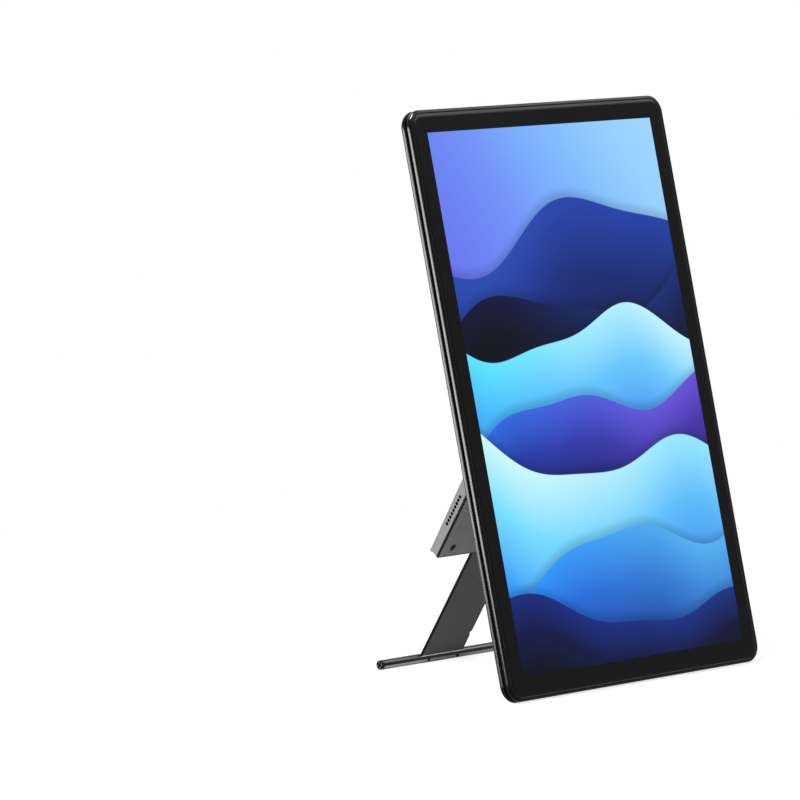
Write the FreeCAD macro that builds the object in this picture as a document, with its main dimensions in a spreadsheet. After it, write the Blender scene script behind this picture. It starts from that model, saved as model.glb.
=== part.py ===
"""Portable monitor that leans on a folding stand.

An upright slab display stands on its lower edge. A swivel in the middle of its back carries a hinge
knuckle, a wedge-shaped module with ports and speakers folds out from that knuckle, and a flat leg with
a round foot bar slides out of the module down to the table. Lengths are in millimetres.

The display and its swivel share one frame: x to the right, y up the display, z out of its glass, with
the origin in the middle of the glass. The module and its leg share another: x to the right, y up the
module, z out of its front, with the origin on the hinge axis.
"""
import FreeCAD, Part
import math
import os
import re
import Sketcher

# how the object stands: the display's lean from upright, and the module's opening from the display's back
ANGLES = {"tilt_angle": 12.8, "stand_angle": 45.0}

# places along the module are shares of its length, from the hinge down
SHARES = {
    "module_reach_share": 0.57613,
    "bay_start_share": 0.125,
    "usb_a_share": 0.0827,
    "usb_c_upper_share": 0.2385,
    "usb_c_lower_share": 0.3769,
    "main_board_start_share": 0.1587,
    "light_start_share": 0.173,
    "light_end_share": 0.75,
    "speaker_start_share": 0.6,
    "speaker_end_share": 0.82,
    "key_board_start_share": 0.1394,
    "key_board_end_share": 0.4423,
    "power_share": 0.1923,
    "rocker_share": 0.3462,
    "usb_a_reach_share": 0.2917,
    "usb_c_round_share": 0.49,
    "bushing_share": 0.408,
    "bar_screw_share": 0.348,
    "bar_screw_rise_share": 0.3,
}

SIZES = {
    # display outline
    "active_width": 188.5,
    "active_height": 301.6,
    "bezel_width": 13.0,
    "corner_radius": 10.0,
    "inner_corner": 0.9,
    "bead_radius": 1.6,
    "parting_gap": 0.4,
    # display layers, front to back
    "glass_thickness": 0.8,
    "cell_thickness": 1.1,
    "guide_thickness": 2.0,
    "tray_sheet": 0.4,
    "flex_thickness": 0.15,
    "stack_clearance": 0.15,
    "retainer_thickness": 0.8,
    "washer_thickness": 0.3,
    "boss_height": 0.6,
    "cover_wall": 1.2,
    # front frame, glass and tape
    "rim_width": 2.2,
    "glass_gap": 0.1,
    "tape_thickness": 0.2,
    "tape_setback": 0.5,
    "frame_gap": 0.4,
    "lip_inset": 2.6,
    "lip_width": 2.0,
    "lip_engagement": 1.05,
    # panel pieces
    "cell_margin": 2.5,
    "guide_margin": 1.5,
    "strip_gap": 0.1,
    "strip_height": 1.2,
    "strip_setback": 0.2,
    "tray_gap": 0.3,
    "tray_setback": 0.4,
    "board_width": 140.0,
    "board_height": 18.0,
    "board_rise": 30.0,
    "board_thickness": 1.0,
    "flex_width": 14.0,
    "sensor_radius": 1.2,
    "sensor_height": 1.6,
    "sensor_gap": 0.15,
    "tray_screw_radius": 0.8,
    "tray_screw_depth": 1.4,
    "tray_head_radius": 1.6,
    "tray_head_height": 0.6,
    "screw_gap": 0.05,
    # back cover
    "cover_side_wall": 2.2,
    "boss_radius": 20.5,
    "arc_radius": 51.4,
    "arc_width": 0.9,
    "arc_depth": 0.45,
    # swivel
    "hub_radius": 13.9,
    "disc_radius": 19.0,
    "disc_depth": 0.7,
    "cable_bore": 4.4,
    "swivel_clearance": 0.08,
    "swivel_end_gap": 0.05,
    "washer_bore_gap": 0.3,
    "retainer_screw_circle": 10.0,
    "retainer_screw_radius": 0.7,
    "retainer_head_radius": 1.3,
    "retainer_head_height": 0.5,
    "retainer_screw_length": 1.5,
    # hinge
    "hinge_standoff": 10.5,
    "knuckle_width": 34.0,
    "knuckle_rise": 8.2,
    "knuckle_drop": 5.2,
    "knuckle_back": 5.0,
    "knuckle_crown": 4.8,
    "knuckle_round": 3.4,
    "knuckle_edge": 0.6,
    "shaft_radius": 2.0,
    "shaft_fit": 0.02,
    "bearing_clearance": 0.06,
    "bushing_radius": 2.8,
    "hinge_gap": 0.6,
    # module housing and back plate
    "module_width": 97.6,
    "front_depth": 3.5,
    "back_depth": 6.4,
    "end_depth": 3.5,
    "barrel_height": 5.2,
    "barrel_front_round": 4.0,
    "barrel_back_round": 4.6,
    "side_round": 1.0,
    "plate_thickness": 1.0,
    "plate_inset": 1.5,
    "plate_edge": 0.35,
    "seam_gap": 0.45,
    "notch_depth": 10.0,
    "side_wall": 2.0,
    "bay_front_wall": 1.5,
    "bay_end_wall": 10.0,
    "rail_wall": 1.8,
    "overrun": 5.0,
    "end_hollow_radius": 6.5,
    "end_hollow_depth": 0.9,
    # leg, its channel and the light above it
    "leg_width": 35.2,
    "leg_thickness": 1.6,
    "leg_offset": 1.6,
    "leg_side_gap": 0.4,
    "leg_face_gap": 0.3,
    "channel_wall": 1.5,
    "leg_end_gap": 0.7,
    "leg_corner": 2.0,
    "leg_edge": 0.3,
    "notch_rise": 13.0,
    "notch_width": 1.0,
    "notch_height": 2.4,
    "roof_wall": 0.9,
    "pad_width": 12.0,
    "pad_length": 9.0,
    "pad_setback": 3.0,
    "pad_gap": 0.05,
    "light_top_width": 1.4,
    "light_low_width": 5.4,
    "light_top_round": 0.6,
    "light_low_round": 2.0,
    "lens_thickness": 1.2,
    "lens_gap": 0.05,
    "light_bay_margin": 3.0,
    "light_bay_width": 13.0,
    "led_board_width": 9.0,
    "led_board_margin": 2.0,
    "led_board_thickness": 0.8,
    # ports on the +X side
    "port_setback": 0.1,
    "port_gap": 0.12,
    "usb_a_length": 13.2,
    "usb_a_height": 5.7,
    "usb_a_sheet": 0.45,
    "usb_a_round": 0.6,
    "usb_a_back_wall": 1.0,
    "usb_a_tongue_length": 11.0,
    "usb_a_tongue_height": 1.9,
    "usb_a_tongue_rise": 0.5,
    "tongue_setback": 1.5,
    "usb_c_length": 9.0,
    "usb_c_height": 3.2,
    "usb_c_reach": 8.0,
    "usb_c_sheet": 0.32,
    "usb_c_back_wall": 0.8,
    "usb_c_tongue_length": 6.6,
    "usb_c_tongue_height": 0.7,
    # boards and speakers
    "main_board_gap": 0.5,
    "main_board_end_gap": 1.5,
    "main_board_thickness": 1.0,
    "speaker_width": 8.5,
    "speaker_height": 3.6,
    "speaker_gap": 0.3,
    "speaker_round": 1.0,
    "speaker_hole_margin": 2.15,
    "speaker_hole_pitch": 2.33,
    "speaker_hole_radius": 0.88,
    # module screws, in from the front
    "screw_side_setback": 9.9,
    "screw_low": 6.3,
    "screw_upper": 9.0,
    "screw_radius": 1.0,
    "screw_head_radius": 2.2,
    "screw_head_height": 1.1,
    "screw_recess": 0.4,
    "screw_bite": 0.6,
    # keys on the -X side
    "key_proud": 0.3,
    "key_height": 2.6,
    "key_round": 1.0,
    "key_gap": 0.2,
    "key_rise": 0.4,
    "key_flange": 0.7,
    "key_flange_rim": 0.8,
    "key_seat_gap": 0.05,
    "power_length": 8.0,
    "rocker_length": 16.0,
    "rocker_gap": 0.35,
    "rocker_boss_width": 3.2,
    "rocker_boss_depth": 2.0,
    "rocker_pin_radius": 0.6,
    "rocker_pin_gap": 0.08,
    "key_board_setback": 4.6,
    "key_board_thickness": 1.0,
    "key_board_height": 4.4,
    "switch_size": 3.0,
    "switch_height": 1.3,
    "switch_gap": 0.45,
    "stem_width": 1.8,
    "rocker_stem_side": 5.6,
    # foot
    "bar_radius": 2.75,
    "bar_length": 102.0,
    "nest_offset": 2.5,
    "slot_gap": 0.02,
    "cap_thickness": 1.5,
    "cap_peg_radius": 1.4,
    "cap_peg_length": 3.0,
    "cap_peg_gap": 0.03,
    "cap_round": 0.4,
    "cross_length": 3.8,
    "cross_width": 0.9,
    "cross_depth": 0.9,
    "foot_pad_chord": 1.7,
    "foot_pad_gap": 0.02,
    "bar_screw_radius": 0.7,
    "bar_screw_head": 1.2,
    "bar_screw_head_height": 0.9,
    "bar_screw_length": 3.2,
}
SPEAKER_HOLES = 9
ARC_COUNT = 2
ARC_SWEEP = 90
RETAINER_SCREW_ANGLES = (90, 210, 330)
TRAY_SCREW_HEIGHT_SHARES = (-0.85, -0.3, 0.3, 0.85)
SIDES = (1, -1)

DERIVED = {
    # display
    "panel_width": "active_width + 2 * bezel_width",
    "panel_height": "active_height + 2 * bezel_width",
    "half_width": "panel_width / 2",
    "half_height": "panel_height / 2",
    "stack_depth": "glass_thickness + cell_thickness + guide_thickness",
    "tray_back": "stack_depth + tray_sheet",
    "board_room": "boss_height + washer_thickness + retainer_thickness + flex_thickness + stack_clearance",
    "cover_inside": "tray_back + board_room",
    "display_depth": "cover_inside + cover_wall",
    "frame_depth": "(display_depth - parting_gap) / 2",
    "cover_front": "frame_depth + parting_gap",
    "ledge_depth": "glass_thickness + tape_thickness",
    "tongue_depth": "cover_front + lip_engagement",
    "tray_room": "max(cell_margin; guide_margin + strip_gap + strip_height) + tray_gap",
    "opening_margin": "tray_room + tray_sheet + frame_gap",
    "opening_inset": "bezel_width - opening_margin",
    "flange_inset": "lip_inset + lip_width + tray_gap",
    "tray_screw_inset": "(flange_inset + opening_inset) / 2",
    "sensor_x": "half_width - bezel_width / 2",
    "board_low": "board_rise - half_height",
    # swivel
    "hub_end": "cover_inside - boss_height - washer_thickness",
    "retainer_radius": "boss_radius - washer_bore_gap",
    "hinge_depth": "display_depth + hinge_standoff",
    # module
    "half_module": "module_width / 2",
    "module_length": "reach * module_reach_share",
    "bay_start": "module_length * bay_start_share",
    "usb_a_place": "module_length * usb_a_share",
    "usb_c_upper_place": "module_length * usb_c_upper_share",
    "usb_c_lower_place": "module_length * usb_c_lower_share",
    "main_board_start": "module_length * main_board_start_share",
    "main_board_end": "speaker_start - main_board_end_gap",
    "light_start": "module_length * light_start_share",
    "light_end": "module_length * light_end_share",
    "speaker_start": "module_length * speaker_start_share",
    "speaker_end": "module_length * speaker_end_share",
    "speaker_hole_start": "speaker_start + speaker_hole_margin",
    "key_board_start": "module_length * key_board_start_share",
    "key_board_end": "module_length * key_board_end_share",
    "power_place": "module_length * power_share",
    "rocker_place": "module_length * rocker_share",
    "usb_a_reach": "half_module * usb_a_reach_share",
    "bushing_length": "(half_module - notch_half_width) * bushing_share",
    "screw_side": "half_module - screw_side_setback",
    "screw_upper_side": "(notch_half_width + half_module - usb_a_reach) / 2",
    "plate_inner_top": "barrel_height - plate_thickness",
    "plate_taper": "(back_depth - end_depth) / (module_length + plate_inner_top)",
    "notch_half_width": "knuckle_width / 2 + hinge_gap",
    "bay_floor": "front_depth - bay_front_wall",
    "bay_inner": "leg_width / 2 + leg_side_gap + rail_wall",
    "bay_outer": "half_module - side_wall",
    "bay_end": "module_length - bay_end_wall",
    "plate_half_width": "half_module - plate_inset",
    "channel_start": "notch_depth + channel_wall",
    "channel_front": "leg_offset + leg_thickness / 2 + leg_face_gap",
    "channel_back": "leg_offset - leg_thickness / 2 - leg_face_gap",
    "light_floor": "roof_wall - channel_back",
    "bushing_start": "notch_half_width + port_setback",
    "usb_a_low": "bay_floor",
    "usb_a_top": "bay_floor - usb_a_height",
    "usb_c_low": "bay_floor - main_board_thickness",
    "usb_c_middle": "usb_c_low - usb_c_height / 2",
    "port_face": "half_module - port_setback",
    "key_middle": "bay_floor - key_board_height / 2 - key_rise",
    "rocker_axis": "bay_outer - rocker_boss_depth / 2",
    "stem_end": "bay_outer - key_board_setback + switch_height + switch_gap",
    # stance: the back cover's lower bead and the foot bar both rest on the table
    "lean": "stand_angle - tilt_angle",
    "display_z": "(half_height - bead_radius) * cos(tilt_angle)"
                 " + (display_depth - bead_radius) * sin(tilt_angle) + bead_radius",
    "hinge_z": "display_z - hinge_depth * sin(tilt_angle)",
    "reach": "(hinge_z - leg_offset * sin(lean) - bar_radius) / cos(lean)",
    "front_y": "bead_radius * cos(tilt_angle) - (half_height - bead_radius) * sin(tilt_angle) - bead_radius",
    "rear_y": "hinge_depth * cos(tilt_angle) + reach * sin(lean) - leg_offset * cos(lean) + bar_radius",
    "display_y": "-(front_y + rear_y) / 2",
    "hinge_y": "display_y + hinge_depth * cos(tilt_angle)",
    # leg
    "nest": "module_length + nest_offset",
    "leg_length": "nest - channel_start - leg_end_gap",
    "leg_inner": "reach - leg_length",
    "cap_inner": "bar_length / 2 - cap_thickness",
    "foot_pad_length": "leg_width",
    "bar_screw_side": "leg_width * bar_screw_share",
}

FRAMES = {
    "display": ("display_y", "display_z", "90 - tilt_angle"),
    "module": ("hinge_y", "hinge_z", "90 - tilt_angle + stand_angle"),
}
TINY = 1e-4

doc = FreeCAD.newDocument("portable_monitor")
sheet = doc.addObject("Spreadsheet::Sheet", "Sizes")
NUMBERS = {**ANGLES, **SHARES, **SIZES}
CELLS = {**NUMBERS, **DERIVED}
for row, (alias, content) in enumerate(CELLS.items(), start=1):
    sheet.set(f"A{row}", alias)
    sheet.set(f"B{row}", str(content) if alias in NUMBERS else f"={content}")
    sheet.setAlias(f"B{row}", alias)
doc.recompute()
pieces = []


def bind(text):
    """An expression over size names, written over the sheet's cells."""
    def cell(match):
        word = match.group(0)
        return f"Sizes.{word}" if word in CELLS else word
    return re.sub(r"[a-z][a-z_0-9]*", cell, str(text))


def number(text):
    """The present value of an expression over size names."""
    return float(sheet.evalExpression(bind(text)))


def box(left, right, low, high, radius=None):
    """Corners of a rectangle, rounded where a radius is given."""
    return [(left, low, radius), (right, low, radius), (right, high, radius), (left, high, radius)]


def middle_box(width, height, x="0", y="0", radius=None):
    """Corners of a rectangle about a middle point."""
    return box(f"{x} - ({width}) / 2", f"{x} + ({width}) / 2",
               f"{y} - ({height}) / 2", f"{y} + ({height}) / 2", radius)


def panel_box(inset):
    """The display's outline, drawn in by an inset, with corners that stay concentric."""
    x = f"(half_width - ({inset}))"
    y = f"(half_height - ({inset}))"
    return box(f"-{x}", x, f"-{y}", y, f"max(corner_radius - ({inset}); inner_corner)")


def active_box(margin):
    """The picture area's outline, let out by a margin."""
    x = f"(active_width / 2 + {margin})"
    y = f"(active_height / 2 + {margin})"
    return box(f"-{x}", x, f"-{y}", y)


def disc(x, y, radius):
    """A circle for a sketch."""
    return (x, y, radius)


class Piece:
    """One sub-part: a body whose features all come from sketches tied to the sheet."""

    def __init__(self, label, frame):
        self.body = doc.addObject("PartDesign::Body", label)
        self.body.Label = label
        self.body.AllowCompound = True
        y, z, angle = FRAMES[frame]
        self.body.Placement = FreeCAD.Placement(
            FreeCAD.Vector(0, number(y), number(z)),
            FreeCAD.Rotation(FreeCAD.Vector(1, 0, 0), number(angle)))
        self.body.setExpression("Placement.Base.y", bind(y))
        self.body.setExpression("Placement.Base.z", bind(z))
        self.body.setExpression("Placement.Rotation.Angle", bind(angle))
        pieces.append(self.body)

    def origin(self, role):
        return next(item for item in self.body.Origin.OriginFeatures if item.Role == role)

    def sketch(self, plane, loops, offset="0"):
        """A sketch on an origin plane, moved along its normal, with closed loops drawn in it."""
        sketch = self.body.newObject("Sketcher::SketchObject", "outline")
        sketch.AttachmentSupport = [(self.origin(plane + "_Plane"), "")]
        sketch.MapMode = "FlatFace"
        sketch.setExpression("AttachmentOffset.Base.z", bind(offset))
        for loop in loops:
            if isinstance(loop, tuple):
                draw_circle(sketch, *loop)
            else:
                draw_polygon(sketch, loop)
        return sketch

    def feature(self, kind, sketch):
        feature = self.body.newObject("PartDesign::" + kind, kind.lower())
        feature.Profile = sketch
        return feature

    def pad(self, plane, loops, length, offset="0", symmetric=False, reverse=False):
        feature = self.feature("Pad", self.sketch(plane, loops, offset))
        feature.setExpression("Length", bind(length))
        feature.SideType = "Symmetric" if symmetric else "One side"
        feature.Reversed = reverse
        doc.recompute()
        return feature

    def pocket(self, plane, loops, length=None, offset="0", symmetric=False, reverse=False):
        """A cut against the sketch's normal, or along it when reversed; with no length, through all."""
        before = self.body.Tip.Shape.Volume
        feature = self.feature("Pocket", self.sketch(plane, loops, offset))
        if length is None:
            feature.Type = "ThroughAll"
        else:
            feature.setExpression("Length", bind(length))
        feature.SideType = "Symmetric" if symmetric else "One side"
        feature.Reversed = reverse
        doc.recompute()
        if feature.Shape.Volume >= before:
            raise RuntimeError(f"a pocket of {self.body.Label} cuts nothing")
        return feature

    def turn(self, loops):
        """A solid turned about the z axis from a profile of radii and heights."""
        feature = self.feature("Revolution", self.sketch("XZ", loops))
        feature.ReferenceAxis = (self.origin("Z_Axis"), [""])
        feature.Angle = 360
        doc.recompute()
        return feature

    def fillet(self, radius, wanted):
        """Rounds the edges of the present shape whose box passes a test."""
        base = self.body.Tip
        names = [f"Edge{place}" for place, edge in enumerate(base.Shape.Edges, start=1)
                 if wanted(edge.BoundBox)]
        feature = self.body.newObject("PartDesign::Fillet", "fillet")
        feature.Base = (base, names)
        feature.setExpression("Radius", bind(radius))
        doc.recompute()
        return feature

    def repeat_round(self, original, count):
        """Repeats one feature evenly about the body's z axis."""
        feature = self.body.newObject("PartDesign::PolarPattern", "polar")
        feature.Originals = [original]
        feature.Axis = (self.origin("Z_Axis"), [""])
        feature.Angle = 360
        feature.Occurrences = count
        self.body.Tip = feature
        doc.recompute()

    def repeat_down(self, original, pitch, count):
        """Repeats one feature at a pitch, down the body's y axis."""
        feature = self.body.newObject("PartDesign::LinearPattern", "linear")
        feature.Originals = [original]
        feature.Direction = (self.origin("Y_Axis"), [""])
        feature.Reversed = True
        feature.Mode = "Spacing"
        feature.setExpression("Offset", bind(pitch))
        feature.Occurrences = count
        self.body.Tip = feature
        doc.recompute()


def tie(sketch, constraint, text):
    """Adds one dimension to a sketch and ties it to the sheet."""
    place = sketch.addConstraint(constraint)
    name = f"size{place}"
    sketch.renameConstraint(place, name)
    sketch.setExpression(f"Constraints.{name}", bind(text))


def draw_circle(sketch, x, y, radius):
    centre = FreeCAD.Vector(number(x), number(y), 0)
    place = sketch.addGeometry(Part.Circle(centre, FreeCAD.Vector(0, 0, 1), number(radius)))
    tie(sketch, Sketcher.Constraint("DistanceX", place, 3, centre.x), x)
    tie(sketch, Sketcher.Constraint("DistanceY", place, 3, centre.y), y)
    tie(sketch, Sketcher.Constraint("Radius", place, number(radius)), radius)


def draw_polygon(sketch, corners):
    """Draws a closed polygon; a corner with a radius is an arc tangent to its two sides."""
    count = len(corners)
    points = [FreeCAD.Vector(number(x), number(y), 0) for x, y, _ in corners]
    starts = list(points)
    ends = [points[(place + 1) % count] for place in range(count)]
    arcs = {}
    for place, (_, _, radius) in enumerate(corners):
        if radius is None:
            continue
        before = (points[place - 1] - points[place]).normalize()
        after = (points[(place + 1) % count] - points[place]).normalize()
        half_angle = before.getAngle(after) / 2
        inward = (before + after).normalize()
        starts[place] = points[place] + after * (number(radius) / math.tan(half_angle))
        ends[place - 1] = points[place] + before * (number(radius) / math.tan(half_angle))
        crown = points[place] + inward * (number(radius) / math.sin(half_angle) - number(radius))
        turns_left = before.cross(after).z < 0
        arcs[place] = (Part.Arc(ends[place - 1], crown, starts[place]), turns_left)
    lines = [sketch.addGeometry(Part.LineSegment(start, end)) for start, end in zip(starts, ends)]
    for place, (x, y, radius) in enumerate(corners):
        last_line, line = lines[place - 1], lines[place]
        if radius is None:
            sketch.addConstraint(Sketcher.Constraint("Coincident", last_line, 2, line, 1))
            corner = line
        else:
            curve, turns_left = arcs[place]
            arc = sketch.addGeometry(curve)
            first, second = (1, 2) if turns_left else (2, 1)
            corner = sketch.addGeometry(Part.Point(points[place]), True)
            sketch.addConstraint([
                Sketcher.Constraint("Tangent", last_line, 2, arc, first),
                Sketcher.Constraint("Tangent", arc, second, line, 1),
                Sketcher.Constraint("PointOnObject", corner, 1, last_line),
                Sketcher.Constraint("PointOnObject", corner, 1, line)])
            tie(sketch, Sketcher.Constraint("Radius", arc, number(radius)), radius)
        tie(sketch, Sketcher.Constraint("DistanceX", corner, 1, points[place].x), x)
        tie(sketch, Sketcher.Constraint("DistanceY", corner, 1, points[place].y), y)


def level(height):
    """A test for edges that lie flat at a height."""
    z = number(height)
    return lambda bounds: abs(bounds.ZMin - z) < TINY and abs(bounds.ZMax - z) < TINY


def either(*tests):
    return lambda bounds: any(test(bounds) for test in tests)


def make_glass():
    glass = Piece("cover_glass", "display")
    glass.pad("XY", [panel_box("rim_width + glass_gap")], "glass_thickness", "-glass_thickness")
    tape = Piece("glass_tape", "display")
    outer = panel_box("rim_width + glass_gap + tape_setback")
    inner = active_box("opening_margin + tape_setback")
    tape.pad("XY", [outer, inner], "tape_thickness", "-ledge_depth")
    tape.pocket("XY", [disc("sensor_x", "0", "sensor_radius + sensor_gap")], symmetric=True)


def tray_screw_places():
    x = "(half_width - tray_screw_inset)"
    return [(f"{side} * {x}", f"half_height * {share}")
            for side in SIDES for share in TRAY_SCREW_HEIGHT_SHARES]


def make_front_frame():
    frame = Piece("front_frame", "display")
    frame.pad("XY", [panel_box("0")], "frame_depth", "-frame_depth")
    frame.fillet("bead_radius", either(level("0"), level("-frame_depth")))
    frame.pad("XY", [panel_box("lip_inset")], "tongue_depth - frame_depth", "-tongue_depth")
    frame.pocket("XY", [panel_box("lip_inset + lip_width")], offset="-stack_depth")
    frame.pocket("XY", [active_box("opening_margin")], symmetric=True)
    frame.pocket("XY", [panel_box("rim_width")], offset="-ledge_depth", reverse=True)
    frame.pocket("XY", [disc("sensor_x", "0", "sensor_radius + sensor_gap")],
                 "sensor_height", "-ledge_depth")
    holes = [disc(x, y, "tray_screw_radius + screw_gap") for x, y in tray_screw_places()]
    frame.pocket("XY", holes, "tray_screw_depth", "-stack_depth", reverse=True)


def make_panel_stack():
    cell = Piece("lcd_cell", "display")
    cell.pad("XY", [active_box("cell_margin")], "cell_thickness", "-(glass_thickness + cell_thickness)")
    guide = Piece("light_guide", "display")
    guide.pad("XY", [active_box("guide_margin")], "guide_thickness", "-stack_depth")
    strip = Piece("backlight_strip", "display")
    top = "-(active_height / 2 + guide_margin + strip_gap)"
    strip.pad("XY", [box("-active_width / 2", "active_width / 2", f"{top} - strip_height", top)],
              "guide_thickness - strip_setback", "-stack_depth")
    tray = Piece("panel_tray", "display")
    tray.pad("XY", [panel_box("flange_inset")], "tray_sheet", "-tray_back")
    tray.pad("XY", [active_box("tray_room + tray_sheet"), active_box("tray_room")],
             "stack_depth - glass_thickness - tray_setback", "-stack_depth")
    holes = [disc(x, y, "tray_screw_radius + screw_gap") for x, y in tray_screw_places()]
    tray.pocket("XY", holes, symmetric=True)
    screws = Piece("tray_screws", "display")
    places = tray_screw_places()
    screws.pad("XY", [disc(x, y, "tray_head_radius") for x, y in places], "tray_head_height",
               "-(tray_back + tray_head_height)")
    screws.pad("XY", [disc(x, y, "tray_screw_radius") for x, y in places],
               "tray_sheet + tray_screw_depth - screw_gap", "-tray_back")


def make_display_electronics():
    board = Piece("driver_board", "display")
    board.pad("XY", [box("-board_width / 2", "board_width / 2", "board_low", "board_low + board_height")],
              "board_thickness", "-(tray_back + board_thickness)")
    flex = Piece("display_flex", "display")
    flex.pad("XY", [box("-flex_width / 2", "flex_width / 2", "board_low + board_height", "0")],
             "flex_thickness", "-(tray_back + flex_thickness)")
    sensor = Piece("light_sensor", "display")
    sensor.pad("XY", [disc("sensor_x", "0", "sensor_radius")], "sensor_height",
               "-(glass_thickness + sensor_height)")


def make_back_cover():
    cover = Piece("back_cover", "display")
    cover.pad("XY", [panel_box("0")], "display_depth - cover_front", "-display_depth")
    cover.fillet("bead_radius", either(level("-cover_front"), level("-display_depth")))
    cover.pocket("XY", [panel_box("cover_side_wall")], offset="-cover_inside", reverse=True)
    cover.pad("XY", [disc("0", "0", "boss_radius")], "boss_height", "-cover_inside")
    cover.pocket("XY", [disc("0", "0", "hub_radius + swivel_clearance")], symmetric=True)
    cover.pocket("XY", [disc("0", "0", "disc_radius + swivel_clearance")],
                 offset="disc_depth - display_depth")
    # two quarter arcs cut into the back mark the stand's quarter turn
    track = box("arc_radius - arc_width / 2", "arc_radius + arc_width / 2",
                "-(display_depth + arc_depth)", "arc_depth - display_depth")
    arc = cover.feature("Groove", cover.sketch("XZ", [track]))
    arc.ReferenceAxis = (cover.origin("Z_Axis"), [""])
    arc.Angle = ARC_SWEEP
    arc.Reversed = True
    doc.recompute()
    cover.repeat_round(arc, ARC_COUNT)


def retainer_screw_places():
    return [(f"retainer_screw_circle * cos({angle})", f"retainer_screw_circle * sin({angle})")
            for angle in RETAINER_SCREW_ANGLES]


def make_swivel():
    plate = Piece("swivel_plate", "display")
    shoulder = "disc_depth - display_depth - swivel_end_gap"
    plate.turn([[("cable_bore", "-hub_end", None), ("cable_bore", "-display_depth", None),
                 ("disc_radius", "-display_depth", None), ("disc_radius", shoulder, None),
                 ("hub_radius", shoulder, None), ("hub_radius", "-hub_end", None)]])
    places = retainer_screw_places()
    holes = [disc(x, y, "retainer_screw_radius + screw_gap") for x, y in places]
    plate.pocket("XY", holes, "retainer_screw_length", "-hub_end")
    retainer = Piece("swivel_retainer", "display")
    retainer.pad("XY", [disc("0", "0", "retainer_radius"), disc("0", "0", "cable_bore")],
                 "retainer_thickness", "-hub_end")
    retainer.pocket("XY", holes, symmetric=True)
    recesses = [disc(x, y, "retainer_head_radius + screw_gap") for x, y in places]
    retainer.pocket("XY", recesses, "retainer_head_height", "retainer_thickness - hub_end")
    washer = Piece("friction_washer", "display")
    washer.pad("XY", [disc("0", "0", "retainer_radius"), disc("0", "0", "hub_radius + washer_bore_gap")],
               "washer_thickness - swivel_end_gap", "swivel_end_gap - hub_end - washer_thickness")
    screws = Piece("retainer_screws", "display")
    screws.pad("XY", [disc(x, y, "retainer_head_radius") for x, y in places], "retainer_head_height",
               "retainer_thickness - hub_end - retainer_head_height")
    screws.pad("XY", [disc(x, y, "retainer_screw_radius") for x, y in places],
               "retainer_thickness - retainer_head_height + retainer_screw_length - screw_gap",
               "retainer_thickness - hub_end - retainer_head_height", reverse=True)


def make_knuckle():
    knuckle = Piece("hinge_knuckle", "display")
    back = "-(hinge_depth + knuckle_back)"
    knuckle.pad("YZ", [[("knuckle_rise", "-display_depth", None),
                        ("-knuckle_drop", "-display_depth", None),
                        ("-knuckle_drop", back, "knuckle_round"),
                        ("knuckle_rise", back, "knuckle_crown")]],
                "knuckle_width", symmetric=True)
    base = number("-display_depth")
    knuckle.fillet("knuckle_edge",
                   lambda bounds: bounds.XLength < TINY and bounds.ZMin < base - TINY)
    knuckle.pocket("YZ", [disc("0", "-hinge_depth", "shaft_radius + shaft_fit")], symmetric=True)
    shaft = Piece("hinge_shaft", "display")
    shaft.pad("YZ", [disc("0", "-hinge_depth", "shaft_radius")],
              "2 * (bushing_start + bushing_length)", symmetric=True)


def module_profile():
    """The module seen from its side: flat front, sloping back, rounded over the hinge."""
    return [("barrel_height", "front_depth", "barrel_front_round"),
            ("barrel_height", "-back_depth", "barrel_back_round"),
            ("-module_length", "-end_depth", None),
            ("-module_length", "front_depth", None)]


def plate_profile():
    """The back plate seen from its side: along the sloping back and over the top of the hinge."""
    return [("barrel_height", "0", None),
            ("barrel_height", "-back_depth", "barrel_back_round"),
            ("-module_length", "-end_depth", None),
            ("-module_length", "plate_thickness - end_depth", None),
            ("plate_inner_top", "plate_thickness - back_depth", "barrel_back_round - plate_thickness"),
            ("plate_inner_top", "0", None)]


def plate_recess():
    """What the housing leaves free for the back plate, open to the back and over both ends."""
    return [("barrel_height + overrun", "0", None),
            ("barrel_height + overrun", "-back_depth - overrun", None),
            ("-module_length - overrun", "-back_depth - overrun", None),
            ("-module_length - overrun", "plate_thickness - end_depth + plate_taper * overrun", None),
            ("plate_inner_top", "plate_thickness - back_depth", "barrel_back_round - plate_thickness"),
            ("plate_inner_top", "0", None)]


def plate_underside(y):
    """The height of the back plate's inner face at a place along the module."""
    return f"plate_thickness - back_depth + plate_taper * (plate_inner_top - ({y}))"


def end_hollow():
    """The shallow hollow across the module's lower end, where the foot bar comes to lie."""
    return disc("end_hollow_depth - end_hollow_radius - module_length",
                "(front_depth - end_depth) / 2", "end_hollow_radius")


def module_screw_places():
    lower = [(f"{side} * screw_side", "screw_low - module_length") for side in SIDES]
    upper = [(f"{side} * screw_upper_side", "-screw_upper") for side in SIDES]
    return lower + upper


def knuckle_notch():
    return box("-notch_half_width", "notch_half_width", "-notch_depth", "barrel_height + overrun")


def side_bay(side):
    inner, outer = f"{side} * bay_inner", f"{side} * bay_outer"
    left, right = (inner, outer) if side > 0 else (outer, inner)
    return box(left, right, "-bay_end", "-bay_start")


def usb_a_box(gap):
    return middle_box(f"usb_a_length + 2 * ({gap})", f"usb_a_height + 2 * ({gap})",
                      "-usb_a_place", "(usb_a_low + usb_a_top) / 2", "usb_a_round")


def usb_c_box(place, gap):
    return middle_box(f"usb_c_length + 2 * ({gap})", f"usb_c_height + 2 * ({gap})",
                      f"-{place}", "usb_c_middle", f"usb_c_height * usb_c_round_share + ({gap})")


def key_box(place, length, gap):
    return middle_box(f"{length} + 2 * ({gap})", f"key_height + 2 * ({gap})",
                      f"-{place}", "key_middle", "key_round")


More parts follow.
